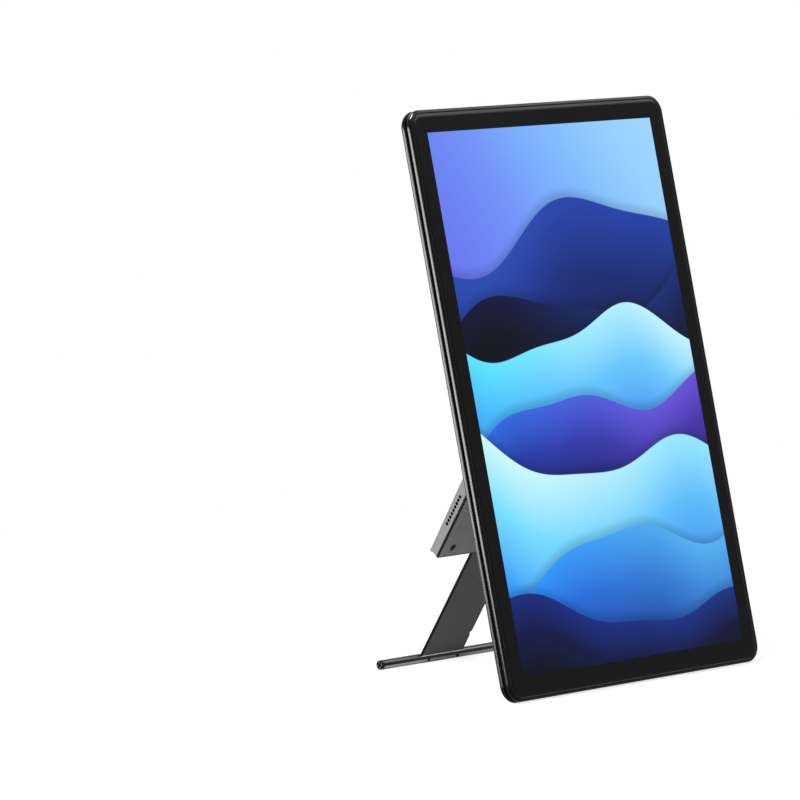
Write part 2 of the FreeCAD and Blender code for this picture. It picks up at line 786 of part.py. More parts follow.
def make_housing():
    housing = Piece("module_housing", "module")
    housing.pad("YZ", [module_profile()], "module_width", symmetric=True)
    end = number("-module_length")
    housing.fillet("side_round",
                   lambda bounds: bounds.XLength < TINY and bounds.YMax > end + TINY)
    housing.pocket("YZ", [plate_recess()], "2 * plate_half_width", symmetric=True)
    housing.pocket("XY", [knuckle_notch()], symmetric=True)
    housing.pocket("XY", [side_bay(side) for side in SIDES], offset="bay_floor")
    channel = box("-module_length - overrun", "-channel_start", "channel_back", "channel_front")
    housing.pocket("YZ", [channel], "leg_width + 2 * leg_side_gap", symmetric=True)
    light_bay = box("-light_bay_width / 2", "light_bay_width / 2",
                    "-(light_end + light_bay_margin)", "light_bay_margin - light_start")
    housing.pocket("XY", [light_bay], offset="-light_floor")
    housing.pocket("YZ", [disc("0", "0", "bushing_radius + shaft_fit")],
                   "2 * (bushing_start + bushing_length)", symmetric=True)
    housing.pocket("YZ", [end_hollow()], symmetric=True)
    cut_ports(housing)
    cut_speaker_holes(housing)
    cut_key_openings(housing)
    places = module_screw_places()
    housing.pocket("XY", [disc(x, y, "screw_radius + screw_gap") for x, y in places], symmetric=True)
    housing.pocket("XY", [disc(x, y, "screw_head_radius + screw_gap") for x, y in places],
                   "screw_head_height + screw_recess", "front_depth")


def cut_ports(housing):
    housing.pocket("YZ", [usb_a_box("port_gap")], "usb_a_reach + port_gap", "port_face + port_setback")
    for place in ("usb_c_upper_place", "usb_c_lower_place"):
        housing.pocket("YZ", [usb_c_box(place, "port_gap")], "side_wall + port_gap", "half_module")


def cut_speaker_holes(housing):
    for side in SIDES:
        hole = housing.pocket("YZ", [disc("-speaker_hole_start", "usb_c_middle", "speaker_hole_radius")],
                              "side_wall + port_gap", f"{side} * half_module", reverse=side < 0)
        housing.repeat_down(hole, "speaker_hole_pitch", SPEAKER_HOLES)


def cut_key_openings(housing):
    openings = [key_box("power_place", "power_length", "key_gap"),
                key_box("rocker_place", "rocker_length", "rocker_gap")]
    housing.pocket("YZ", openings, "side_wall + port_gap", "-half_module", reverse=True)


def light_outline(gap):
    top = f"(light_top_width / 2 - ({gap}))"
    low = f"(light_low_width / 2 - ({gap}))"
    return [(f"-{low}", f"{gap} - light_end", "light_low_round"),
            (low, f"{gap} - light_end", "light_low_round"),
            (top, f"-light_start - ({gap})", "light_top_round"),
            (f"-{top}", f"-light_start - ({gap})", "light_top_round")]


def outer_side_edges(bounds):
    """A test for the edges of the back plate's outer face along its two sides."""
    slope_middle = number("plate_thickness / 2 - back_depth")
    along_back = bounds.YLength > number("module_length / 2") and bounds.ZMin < slope_middle
    return bounds.XLength < TINY and along_back


def make_back_plate():
    plate = Piece("module_back_plate", "module")
    plate.pad("YZ", [plate_profile()], "2 * (plate_half_width - seam_gap)", symmetric=True)
    plate.fillet("plate_edge", outer_side_edges)
    plate.pocket("XY", [knuckle_notch()], symmetric=True)
    plate.pocket("XY", [light_outline("0")], symmetric=True)
    plate.pocket("YZ", [end_hollow()], symmetric=True)
    for x, y in module_screw_places():
        plate.pocket("XY", [disc(x, y, "screw_radius + screw_gap")], "screw_bite", plate_underside(y))


def make_light():
    lens = Piece("light_bar", "module")
    lens.pad("XY", [light_outline("lens_gap")], "back_depth", "0", reverse=True)
    outside = [("barrel_height", "-back_depth", None), ("-module_length", "-end_depth", None),
               ("-module_length", "-back_depth - overrun", None),
               ("barrel_height", "-back_depth - overrun", None)]
    lens.pocket("YZ", [outside], "module_width", symmetric=True)
    inside = [("barrel_height", "lens_thickness - back_depth", None),
              ("barrel_height", "overrun", None), ("-module_length", "overrun", None),
              ("-module_length", "lens_thickness - end_depth", None)]
    lens.pocket("YZ", [inside], "module_width", symmetric=True)
    board = Piece("led_board", "module")
    board.pad("XY", [box("-led_board_width / 2", "led_board_width / 2",
                         "-(light_end + led_board_margin)", "led_board_margin - light_start")],
              "led_board_thickness", "-light_floor", reverse=True)


def make_usb_a():
    shell = Piece("usb_a_shell", "module")
    shell.pad("YZ", [usb_a_box("0")], "usb_a_reach", "port_face", reverse=True)
    mouth = middle_box("usb_a_length - 2 * usb_a_sheet", "usb_a_height - 2 * usb_a_sheet",
                       "-usb_a_place", "(usb_a_low + usb_a_top) / 2")
    shell.pocket("YZ", [mouth], "usb_a_reach - usb_a_back_wall", "port_face")
    tongue = Piece("usb_a_tongue", "module")
    tongue.pad("YZ", [middle_box("usb_a_tongue_length", "usb_a_tongue_height", "-usb_a_place",
                                 "(usb_a_low + usb_a_top) / 2 - usb_a_tongue_rise")],
               "usb_a_reach - usb_a_back_wall - tongue_setback",
               "port_face - usb_a_reach + usb_a_back_wall")


def make_usb_c():
    for name in ("usb_c_upper", "usb_c_lower"):
        place = name + "_place"
        shell = Piece(name + "_shell", "module")
        shell.pad("YZ", [usb_c_box(place, "0")], "usb_c_reach", "port_face", reverse=True)
        shell.pocket("YZ", [usb_c_box(place, "-usb_c_sheet")], "usb_c_reach - usb_c_back_wall", "port_face")
        tongue = Piece(name + "_tongue", "module")
        tongue.pad("YZ", [middle_box("usb_c_tongue_length", "usb_c_tongue_height",
                                     f"-{place}", "usb_c_middle")],
                   "usb_c_reach - usb_c_back_wall - tongue_setback",
                   "port_face - usb_c_reach + usb_c_back_wall")


def make_module_electronics():
    board = Piece("main_board", "module")
    board.pad("XY", [box("bay_inner + main_board_gap", "bay_outer - main_board_gap",
                         "-main_board_end", "-main_board_start")],
              "main_board_thickness", "bay_floor - main_board_thickness")
    for side, name in ((1, "speaker_left"), (-1, "speaker_right")):
        speaker = Piece(name, "module")
        near = f"{side} * (bay_outer - speaker_gap)"
        far = f"{side} * (bay_outer - speaker_gap - speaker_width)"
        left, right = (far, near) if side > 0 else (near, far)
        speaker.pad("XY", [box(left, right, "-speaker_end", "-speaker_start", "speaker_round")],
                    "speaker_height", "bay_floor - speaker_height")


def make_bushings():
    for side, name in ((1, "hinge_bushing_left"), (-1, "hinge_bushing_right")):
        bushing = Piece(name, "module")
        bushing.pad("YZ", [disc("0", "0", "bushing_radius"),
                           disc("0", "0", "shaft_radius + bearing_clearance")],
                    "bushing_length - port_setback", f"{side} * bushing_start", reverse=side < 0)


def make_module_screws():
    screws = Piece("module_screws", "module")
    places = module_screw_places()
    screws.pad("XY", [disc(x, y, "screw_head_radius") for x, y in places], "screw_head_height",
               "front_depth - screw_recess - screw_head_height")
    for x, y in places:
        tip = f"{plate_underside(y)} - screw_bite + screw_gap"
        screws.pad("XY", [disc(x, y, "screw_radius")],
                   f"front_depth - screw_recess - screw_head_height - ({tip})", tip)


def rocker_stem_places():
    return [f"rocker_place + {side} * rocker_stem_side" for side in SIDES]


def make_keys():
    power = Piece("power_button", "module")
    power.pad("YZ", [key_box("power_place", "power_length", "0")],
              "key_proud + side_wall + key_seat_gap", "-(half_module + key_proud)")
    power.pad("YZ", [key_box("power_place", "power_length", "key_flange_rim")],
              "key_flange", "key_seat_gap - bay_outer")
    power.pad("YZ", [middle_box("stem_width", "stem_width", "-power_place", "key_middle")],
              "bay_outer - stem_end", "-bay_outer")
    rocker = Piece("menu_rocker", "module")
    rocker.pad("YZ", [key_box("rocker_place", "rocker_length", "0")],
               "key_proud + side_wall", "-(half_module + key_proud)")
    rocker.pad("YZ", [middle_box("rocker_boss_width", "key_height", "-rocker_place", "key_middle")],
               "rocker_boss_depth", "-bay_outer")
    rocker.pad("YZ", [middle_box("stem_width", "stem_width", f"-({place})", "key_middle")
                      for place in rocker_stem_places()], "bay_outer - stem_end", "-bay_outer")
    rocker.pocket("XY", [disc("-rocker_axis", "-rocker_place", "rocker_pin_radius + rocker_pin_gap")],
                  symmetric=True)
    pin = Piece("rocker_pin", "module")
    pin.pad("XY", [disc("-rocker_axis", "-rocker_place", "rocker_pin_radius")],
            "key_board_height + key_rise", "bay_floor", reverse=True)
    board = Piece("key_board", "module")
    face = "(key_board_setback - bay_outer)"
    board.pad("YZ", [box("-key_board_end", "-key_board_start", "bay_floor - key_board_height", "bay_floor")],
              "key_board_thickness", face)
    board.pad("YZ", [middle_box("switch_size", "switch_size", f"-({place})", "key_middle")
                     for place in ["power_place", *rocker_stem_places()]],
              "switch_height", face, reverse=True)


def make_leg():
    leg = Piece("leg_strip", "module")
    side = "leg_width / 2"
    low = "slot_gap - reach"
    right = [(side, low, None), (side, "notch_rise - reach", None),
             (f"{side} - notch_width", "notch_rise - reach", None),
             (f"{side} - notch_width", "notch_rise + notch_height - reach", None),
             (side, "notch_rise + notch_height - reach", None), (side, "-leg_inner", "leg_corner")]
    left = [(f"-({side})", "-leg_inner", "leg_corner"), (f"-({side})", low, None)]
    leg.pad("XY", [right + left], "leg_thickness", "leg_offset - leg_thickness / 2")
    leg.fillet("leg_edge", either(level("leg_offset - leg_thickness / 2"),
                                  level("leg_offset + leg_thickness / 2")))
    leg.pocket("XY", bar_screw_discs("bar_screw_radius + screw_gap"), symmetric=True)
    pad = Piece("leg_friction_pad", "module")
    pad.pad("XY", [box("-pad_width / 2", "pad_width / 2", "pad_setback - module_length",
                       "pad_setback + pad_length - module_length")],
            "leg_face_gap - pad_gap", "channel_back")


def bar_screw_discs(radius):
    return [disc(f"{side} * bar_screw_side", "bar_radius * bar_screw_rise_share - reach", radius) for side in SIDES]


def foot_pad_cut(chord):
    """A block that covers the bar's section, less the slice that faces the table."""
    down, across = ("-cos(lean)", "sin(lean)"), ("sin(lean)", "cos(lean)")
    corners = []
    for depth, width in (("-overrun", "-overrun"), ("-overrun", "overrun"),
                         (chord, "overrun"), (chord, "-overrun")):
        corners.append((f"{depth} * {down[0]} + {width} * {across[0]} - reach",
                        f"{depth} * {down[1]} + {width} * {across[1]} + leg_offset", None))
    return corners


def foot_pad_recess(chord):
    """The slice of the bar's section that faces the table."""
    down, across = ("-cos(lean)", "sin(lean)"), ("sin(lean)", "cos(lean)")
    corners = []
    for depth, width in ((chord, "-overrun"), (chord, "overrun"),
                         ("overrun", "overrun"), ("overrun", "-overrun")):
        corners.append((f"({depth}) * {down[0]} + {width} * {across[0]} - reach",
                        f"({depth}) * {down[1]} + {width} * {across[1]} + leg_offset", None))
    return corners


def make_foot():
    axis = ("-reach", "leg_offset")
    bar = Piece("foot_bar", "module")
    bar.pad("YZ", [disc(*axis, "bar_radius")], "2 * cap_inner", symmetric=True)
    slot = box("-reach", "overrun - reach", "leg_offset - leg_thickness / 2 - slot_gap",
               "leg_offset + leg_thickness / 2 + slot_gap")
    bar.pocket("YZ", [slot], "leg_width + 2 * slot_gap", symmetric=True)
    bar.pocket("YZ", [foot_pad_recess("foot_pad_chord")], "foot_pad_length", symmetric=True)
    for side in SIDES:
        bar.pocket("YZ", [disc(*axis, "cap_peg_radius + cap_peg_gap")], "cap_peg_length + cap_peg_gap",
                   f"{side} * cap_inner", reverse=side < 0)
    head = "leg_offset + bar_radius"
    bar.pocket("XY", bar_screw_discs("bar_screw_head + screw_gap"), "bar_screw_head_height", head)
    bar.pocket("XY", bar_screw_discs("bar_screw_radius + screw_gap"),
               "bar_screw_head_height + bar_screw_length", head)
    pad = Piece("foot_pad", "module")
    pad.pad("YZ", [disc(*axis, "bar_radius")], "foot_pad_length - 2 * foot_pad_gap", symmetric=True)
    pad.pocket("YZ", [foot_pad_cut("(foot_pad_chord + foot_pad_gap)")], symmetric=True)
    screws = Piece("bar_screws", "module")
    screws.pad("XY", bar_screw_discs("bar_screw_head"), "bar_screw_head_height - screw_recess - screw_gap",
               f"{head} - bar_screw_head_height + screw_gap")
    screws.pad("XY", bar_screw_discs("bar_screw_radius"), "bar_screw_length",
               f"{head} - bar_screw_head_height + screw_gap", reverse=True)
    make_caps(axis)


def make_caps(axis):
    for side, name in ((1, "foot_cap_left"), (-1, "foot_cap_right")):
        cap = Piece(name, "module")
        cap.pad("YZ", [disc(*axis, "bar_radius")], "cap_thickness", f"{side} * cap_inner", reverse=side < 0)
        outer = number(f"{side} * bar_length / 2")
        cap.fillet("cap_round", lambda bounds: abs(bounds.XMin - outer) + abs(bounds.XMax - outer) < TINY)
        for width, height in (("cross_length", "cross_width"), ("cross_width", "cross_length")):
            cap.pocket("YZ", [middle_box(width, height, *axis)], "cross_depth",
                       f"{side} * bar_length / 2", reverse=side < 0)
        cap.pad("YZ", [disc(*axis, "cap_peg_radius")], "cap_peg_length", f"{side} * cap_inner",
                reverse=side > 0)


def check_and_write():
    """Stops on any failed object or bad shape, then writes each piece to its own file."""
    doc.recompute()
    for item in doc.Objects:
        if "Invalid" in item.State or "Error" in item.State:
            raise RuntimeError(f"{item.Label} failed: {item.State}")
    for body in pieces:
        if body.Shape.isNull() or not body.Shape.isValid() or not body.Shape.Solids:
            raise RuntimeError(f"{body.Label} has no valid solid")
    os.makedirs("parts", exist_ok=True)
    for body in pieces:
        body.Shape.exportStep(f"parts/{body.Label}.step")


make_glass()
make_front_frame()
make_panel_stack()
make_display_electronics()
make_back_cover()
make_swivel()
make_knuckle()
make_housing()
make_back_plate()
make_light()
make_usb_a()
make_usb_c()
make_module_electronics()
make_bushings()
make_module_screws()
make_keys()
make_leg()
make_foot()
check_and_write()
for label in ("display_y", "display_z", "hinge_y", "hinge_z", "reach", "display_depth", "panel_height"):
    print(label, round(number(label), 3))
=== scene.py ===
"""Looks of the portable monitor: materials, small fittings, floor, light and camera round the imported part."""
import math

import bmesh
import bpy
from mathutils import Matrix, Vector


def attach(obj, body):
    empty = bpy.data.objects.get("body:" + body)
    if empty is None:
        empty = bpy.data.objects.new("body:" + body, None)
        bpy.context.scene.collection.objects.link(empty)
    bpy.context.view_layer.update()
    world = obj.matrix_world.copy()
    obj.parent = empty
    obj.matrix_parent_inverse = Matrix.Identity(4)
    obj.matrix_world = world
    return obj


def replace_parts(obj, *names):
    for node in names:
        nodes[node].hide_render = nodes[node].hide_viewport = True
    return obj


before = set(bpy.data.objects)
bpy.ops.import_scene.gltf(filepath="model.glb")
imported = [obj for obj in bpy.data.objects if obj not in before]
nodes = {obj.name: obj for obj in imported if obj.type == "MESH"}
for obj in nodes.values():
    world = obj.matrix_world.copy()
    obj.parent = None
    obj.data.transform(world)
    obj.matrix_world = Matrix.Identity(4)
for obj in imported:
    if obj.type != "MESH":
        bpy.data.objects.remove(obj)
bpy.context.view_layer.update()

MM = 0.001
RIGHT = Vector((1.0, 0.0, 0.0))

# the display's own frame: x right, y up the glass, z out of it
TILT = math.radians(12.8)
GLASS_CENTRE = Vector((0.0, -39.815, 161.076)) * MM
DISPLAY_UP = Vector((0.0, math.sin(TILT), math.cos(TILT)))
DISPLAY_OUT = Vector((0.0, -math.cos(TILT), math.sin(TILT)))
# the module's own frame: x right, y up the module, z out of its front
LEAN = TILT + math.radians(-45.0)
HINGE = Vector((0.0, -22.262, 157.088)) * MM
MODULE_UP = Vector((0.0, math.sin(LEAN), math.cos(LEAN)))
MODULE_OUT = Vector((0.0, -math.cos(LEAN), math.sin(LEAN)))


def own_frame(origin, up, out):
    """The matrix that takes a piece's own coordinates to the part's."""
    matrix = Matrix((RIGHT, up, out)).transposed().to_4x4()
    matrix.translation = origin
    return matrix


DISPLAY = own_frame(GLASS_CENTRE, DISPLAY_UP, DISPLAY_OUT)
MODULE = own_frame(HINGE, MODULE_UP, MODULE_OUT)

# screen levels to light
FULL_LEVEL = 255.0
TOE = 0.04045
TOE_SLOPE = 12.92
CURVE_OFFSET = 0.055
CURVE_POWER = 2.4


def linear(level):
    share = level / FULL_LEVEL
    if share <= TOE:
        return share / TOE_SLOPE
    return ((share + CURVE_OFFSET) / (1.0 + CURVE_OFFSET)) ** CURVE_POWER


def rgb(red, green=None, blue=None):
    """A colour from screen levels, 0 to 255. One level gives a grey."""
    green = red if green is None else green
    blue = red if blue is None else blue
    return (linear(red), linear(green), linear(blue), 1.0)


class Field:
    """A number that varies over a surface. Sums and products of fields are nodes of its tree."""

    def __init__(self, tree, socket):
        self.tree = tree
        self.socket = socket

    def math(self, operation, *others):
        made = self.tree.nodes.new("ShaderNodeMath")
        made.operation = operation
        for place, value in enumerate((self, *others)):
            feed(self.tree, made.inputs[place], value)
        return Field(self.tree, made.outputs[0])

    def __add__(self, other):
        return self.math("ADD", other)

    def __sub__(self, other):
        return self.math("SUBTRACT", other)

    def __mul__(self, other):
        return self.math("MULTIPLY", other)

    def __truediv__(self, other):
        return self.math("DIVIDE", other)

    def least(self, other):
        return self.math("MINIMUM", other)

    def most(self, other):
        return self.math("MAXIMUM", other)

    def size(self):
        return self.math("ABSOLUTE")

    def wave(self):
        return self.math("SINE")

    def root(self):
        return self.math("SQRT")

    def ease(self, start, end, low=0.0, high=1.0, kind="SMOOTHSTEP"):
        """low at start, high at end, smooth between them and level outside."""
        made = self.tree.nodes.new("ShaderNodeMapRange")
        made.interpolation_type = kind
        for place, value in enumerate((self, start, end, low, high)):
            feed(self.tree, made.inputs[place], value)
        return Field(self.tree, made.outputs[0])

    def ramp(self, stops):
        """A colour that runs through (place, colour) stops."""
        made = self.tree.nodes.new("ShaderNodeValToRGB")
        feed(self.tree, made.inputs[0], self)
        bands = made.color_ramp.elements
        while len(bands) < len(stops):
            bands.new(1.0)
        for band, (place, colour) in zip(bands, stops):
            band.position = place
            band.color = colour
        return made.outputs[0]


def feed(tree, target, value):
    """Sets a socket to a number or colour, or links it to a field or another socket."""
    if isinstance(value, Field):
        tree.links.new(value.socket, target)
    elif isinstance(value, bpy.types.NodeSocket):
        tree.links.new(value, target)
    else:
        target.default_value = value


BEVEL_SAMPLES = 6
PATCH_SCALE = 60.0


class Finish:
    """A material with a principled shader, its own coordinates, fine grain and bump."""

    def __init__(self, name, colour, roughness, metallic=0.0, ior=1.45):
        self.made = bpy.data.materials.new(name)
        self.made.use_nodes = True
        self.tree = self.made.node_tree
        self.shader = self.tree.nodes["Principled BSDF"]
        self.place = self.tree.nodes.new("ShaderNodeTexCoord").outputs["Object"]
        self.colour = colour
        self.roughness = roughness
        self.bump = None
        self.set("Base Color", colour)
        self.set("Roughness", roughness)
        self.set("Metallic", metallic)
        self.set("IOR", ior)

    def set(self, socket, value):
        feed(self.tree, self.shader.inputs[socket], value)

    def glow(self, colour, strength):
        """Gives off a colour that varies over the surface."""
        self.set("Emission Color", colour)
        self.set("Emission Strength", strength)

    def along(self, axis, origin):
        """Distance from origin along an axis of the part, in metres."""
        made = self.tree.nodes.new("ShaderNodeVectorMath")
        made.operation = "DOT_PRODUCT"
        feed(self.tree, made.inputs[0], self.place)
        made.inputs[1].default_value = axis
        return Field(self.tree, made.outputs["Value"]) - axis.dot(origin)

    def own(self, matrix):
        """The three coordinates in a piece's own frame."""
        origin = matrix.translation
        return [self.along(matrix.col[place].to_3d(), origin) for place in range(3)]

    def noise(self, scale, detail=2.0):
        made = self.tree.nodes.new("ShaderNodeTexNoise")
        made.inputs["Scale"].default_value = scale
        made.inputs["Detail"].default_value = detail
        feed(self.tree, made.inputs["Vector"], self.place)
        return Field(self.tree, made.outputs["Fac"])

    def mix(self, under, over, share):
        made = self.tree.nodes.new("ShaderNodeMix")
        made.data_type = "RGBA"
        # the node's sockets for colours come after those for numbers and vectors
        feed(self.tree, made.inputs[0], share)
        feed(self.tree, made.inputs[6], under)
        feed(self.tree, made.inputs[7], over)
        return made.outputs[2]

    def paint(self, over, share):
        """Lays a colour over what is there, by a share that varies over the surface."""
        self.colour = self.mix(self.colour, over, share)
        self.set("Base Color", self.colour)

    def raise_by(self, height, depth):
        """Adds a height field, from 0 to 1, to the bump, depth metres deep."""
        made = self.tree.nodes.new("ShaderNodeBump")
        made.inputs["Strength"].default_value = 1.0
        made.inputs["Distance"].default_value = depth
        feed(self.tree, made.inputs["Height"], height)
        if self.bump:
            feed(self.tree, made.inputs["Normal"], self.bump)
        self.bump = made.outputs[0]
        self.set("Normal", self.bump)

    def soften(self, radius):
        """Rounds the light on sharp edges. Gives 1 on flat ground and less where an edge is near."""
        made = self.tree.nodes.new("ShaderNodeBevel")
        made.samples = BEVEL_SAMPLES
        made.inputs["Radius"].default_value = radius
        self.bump = made.outputs[0]
        self.set("Normal", self.bump)
        geometry = self.tree.nodes.new("ShaderNodeNewGeometry")
        turned = self.tree.nodes.new("ShaderNodeVectorMath")
        turned.operation = "DOT_PRODUCT"
        feed(self.tree, turned.inputs[0], self.bump)
        feed(self.tree, turned.inputs[1], geometry.outputs["Normal"])
        return Field(self.tree, turned.outputs["Value"])

    def vary(self, spread, scale=PATCH_SCALE):
        """Broad unevenness of the roughness."""
        patch = self.noise(scale, 3.0)
        self.set("Roughness", patch * (2.0 * spread) + (self.roughness - spread))


# wear on the edges, and faint darker clouds
WORN_GAIN = 1.5
WORN_LIFT = 0.01
WORN_FACING = (0.985, 0.86)
WORN_SHARE = 0.6
CLOUD_SCALE = 26.0
CLOUD_DETAIL = 4.0
CLOUD_BAND = (0.42, 0.68)
CLOUD_SHARE = 0.8
CLOUD_LEVEL = 0.9
GRAIN_DETAIL = 3.0
ROUGHNESS_SPREAD = 0.05


def moulded(name, colour, roughness, grain=3200.0, depth=0.012 * MM, ior=1.45, metallic=0.0, edge=0.25 * MM):
    """Fine-textured plastic or coated metal, a little paler on its worn edges."""
    finish = Finish(name, colour, roughness, metallic, ior)
    facing = finish.soften(edge)
    worn = tuple(min(1.0, level * WORN_GAIN + WORN_LIFT) for level in colour[:3]) + (1.0,)
    finish.paint(worn, facing.ease(*WORN_FACING, 0.0, WORN_SHARE))
    clouds = finish.noise(CLOUD_SCALE, CLOUD_DETAIL)
    deep = tuple(level * CLOUD_LEVEL for level in colour[:3]) + (1.0,)
    finish.paint(deep, clouds.ease(*CLOUD_BAND, 0.0, CLOUD_SHARE))
    finish.vary(ROUGHNESS_SPREAD)
    finish.raise_by(finish.noise(grain, GRAIN_DETAIL), depth)
    return finish


def dress(finish, *names):
    for name in names:
        slots = nodes[name].material_slots
        if not slots:
            nodes[name].data.materials.append(finish.made)
        for slot in slots:
            slot.material = finish.made


HALF_PANEL = (107.25 * MM, 163.8 * MM)
PANEL_CORNER = 10.0 * MM


def inside_panel(u, v):
    """Distance inside the display's rounded outline, in metres."""
    over_u = (u.size() - (HALF_PANEL[0] - PANEL_CORNER)).most(0.0)
    over_v = (v.size() - (HALF_PANEL[1] - PANEL_CORNER)).most(0.0)
    return (over_u * over_u + over_v * over_v).root() * -1.0 + PANEL_CORNER


# the picture on the screen: sky over a few overlapping dunes. Each dune has a crest (height, slope, and two
# swells of size, rate and phase), a depth, and colours that run down from the crest at its left end and
# at its right end
SKY = [
    (0.0, rgb(100, 112, 236)),
    (0.34, rgb(112, 146, 248)),
    (0.7, rgb(128, 188, 255)),
    (1.0, rgb(158, 214, 255)),
]
SKY_ACROSS = 0.36
SKY_UP = 0.32
SKY_SPAN = (-0.35, 0.75)
DUNES = [
    ((0.60, 0.02, 0.115, 2.6, 0.9, 0.03, 5.3, 2.0), 0.62,
     [rgb(38, 74, 178), rgb(24, 50, 140), rgb(10, 24, 86)],
     [rgb(30, 62, 164), rgb(14, 34, 104), rgb(4, 10, 44)]),
    ((0.335, 0.09, 0.10, 2.9, 3.4, 0.02, 6.1, 0.4), 0.34,
     [rgb(6, 12, 52), rgb(2, 4, 20), rgb(0, 0, 4)],
     [rgb(18, 44, 118), rgb(8, 22, 74), rgb(2, 6, 28)]),
    ((0.215, -0.02, 0.085, 3.1, 0.3, 0.025, 6.6, 4.4), 0.46,
     [rgb(92, 228, 255), rgb(66, 180, 250), rgb(44, 120, 232)],
     [rgb(196, 243, 255), rgb(116, 206, 255), rgb(66, 146, 238)]),
    ((-0.055, 0.12, 0.09, 2.7, 2.9, 0.02, 7.0, 1.2), 0.36,
     [rgb(44, 104, 224), rgb(26, 58, 168), rgb(8, 18, 84)],
     [rgb(104, 80, 214), rgb(70, 50, 170), rgb(30, 18, 92)]),
    ((-0.245, -0.10, 0.10, 2.8, 5.6, 0.02, 6.3, 3.0), 0.56,
     [rgb(206, 250, 255), rgb(120, 222, 255), rgb(46, 150, 248)],
     [rgb(150, 230, 255), rgb(88, 184, 250), rgb(52, 128, 226)]),
    ((-0.585, 0.06, 0.07, 3.3, 1.7, 0.02, 6.9, 5.2), 0.40,
     [rgb(40, 148, 250), rgb(26, 98, 216), rgb(14, 50, 150)],
     [rgb(84, 176, 240), rgb(56, 132, 214), rgb(24, 70, 160)]),
    ((-0.815, -0.05, 0.06, 3.0, 4.4, 0.015, 7.4, 0.8), 0.30,
     [rgb(18, 40, 126), rgb(8, 18, 70), rgb(0, 2, 16)],
     [rgb(20, 48, 132), rgb(6, 12, 52), rgb(0, 0, 6)]),
]
DUNE_STOPS = (0.0, 0.45, 1.0)
CREST_SHARPNESS = 0.002
CREST_SHADOW = 0.05
CREST_SHADOW_SHARE = 0.3
CREST_INK = rgb(4, 8, 40)


def picture(finish, u, v):
    """The screen's colour, from places across and up it that run from -1 to 1."""
    shade = (u * SKY_ACROSS + v * SKY_UP).ease(*SKY_SPAN)
    colour = shade.ramp(SKY)
    across = u.ease(-1.0, 1.0)
    for crest, deep, left, right in DUNES:
        height, slope, swell, rate, phase, ripple, ripple_rate, ripple_phase = crest
        line = u * slope + height
        line = line + (u * rate + phase).wave() * swell
        line = line + (u * ripple_rate + ripple_phase).wave() * ripple
        below = line - v
        shadow = below.ease(-CREST_SHADOW, CREST_SHARPNESS, 0.0, CREST_SHADOW_SHARE)
        colour = finish.mix(colour, CREST_INK, shadow)
        down = below / deep
        left_end = down.ramp(list(zip(DUNE_STOPS, left)))
        right_end = down.ramp(list(zip(DUNE_STOPS, right)))
        body = finish.mix(left_end, right_end, across)
        colour = finish.mix(colour, body, below.ease(-CREST_SHARPNESS, CREST_SHARPNESS))
    return colour


HALF_ACTIVE = (94.25 * MM, 150.8 * MM)
PICTURE_EDGE = (1.0005, 0.9995)
BEZEL = rgb(4)
MATRIX = rgb(1)
MATRIX_BORDER = (0.7 * MM, 0.42 * MM)
SENSOR = (100.75 * MM, 0.0)
SENSOR_RADIUS = 1.1 * MM
SENSOR_RING = (SENSOR_RADIUS, 0.8 * SENSOR_RADIUS)
SENSOR_PUPIL = (0.5 * SENSOR_RADIUS, 0.3 * SENSOR_RADIUS)
GLASS_ROLL = 4.7 * MM
GLASS_ROLL_DEPTH = 1.45 * MM
GLASS_SPREAD = 0.03
GLASS_PATCH = 24.0
GLASS_GRAIN = 9000.0
GLASS_GRAIN_DEPTH = 0.0006 * MM


def make_glass():
    """The sheet over the front: black bezel, lit picture, the sensor's dot and a soft roll to the edges."""
    glass = Finish("cover_glass_print", BEZEL, roughness=0.18, ior=1.15)
    u, v, _ = glass.own(DISPLAY)
    inside = (u.size() / HALF_ACTIVE[0]).most(v.size() / HALF_ACTIVE[1])
    outside = (u.size() - HALF_ACTIVE[0]).most(v.size() - HALF_ACTIVE[1])
    glass.paint(MATRIX, outside.ease(*MATRIX_BORDER))
    spot_u = u - SENSOR[0]
    spot_v = v - SENSOR[1]
    spot = (spot_u * spot_u + spot_v * spot_v).root()
    glass.paint(rgb(4, 4, 6), spot.ease(*SENSOR_RING))
    glass.paint(rgb(30, 26, 44), spot.ease(*SENSOR_PUPIL))
    colour = picture(glass, u / HALF_ACTIVE[0], v / HALF_ACTIVE[1])
    glass.glow(glass.mix(rgb(0), colour, inside.ease(*PICTURE_EDGE)), 1.0)
    glass.vary(GLASS_SPREAD, GLASS_PATCH)
    glass.raise_by(inside_panel(u, v).ease(-GLASS_ROLL, GLASS_ROLL), GLASS_ROLL_DEPTH)
    glass.raise_by(glass.noise(GLASS_GRAIN), GLASS_GRAIN_DEPTH)
    dress(glass, "cover_glass")


DISPLAY_DEPTH = 7.5 * MM
BEAD = rgb(3)
BEAD_IOR = 1.15
BEAD_ROUND = 0.8 * MM
# the cover's black rim, and the part of it that is as glossy as the bead
RIM = (1.75 * MM, 1.3 * MM)
RIM_SIDE = (0.8 * MM, 0.4 * MM)
ROLL_IOR = 1.02
ARC_RADIUS = 51.4 * MM
ARC_HALF = (0.50 * MM, 0.46 * MM)
ARC_FLOOR_SHADE = (0.02 * MM - DISPLAY_DEPTH, 0.06 * MM - DISPLAY_DEPTH)


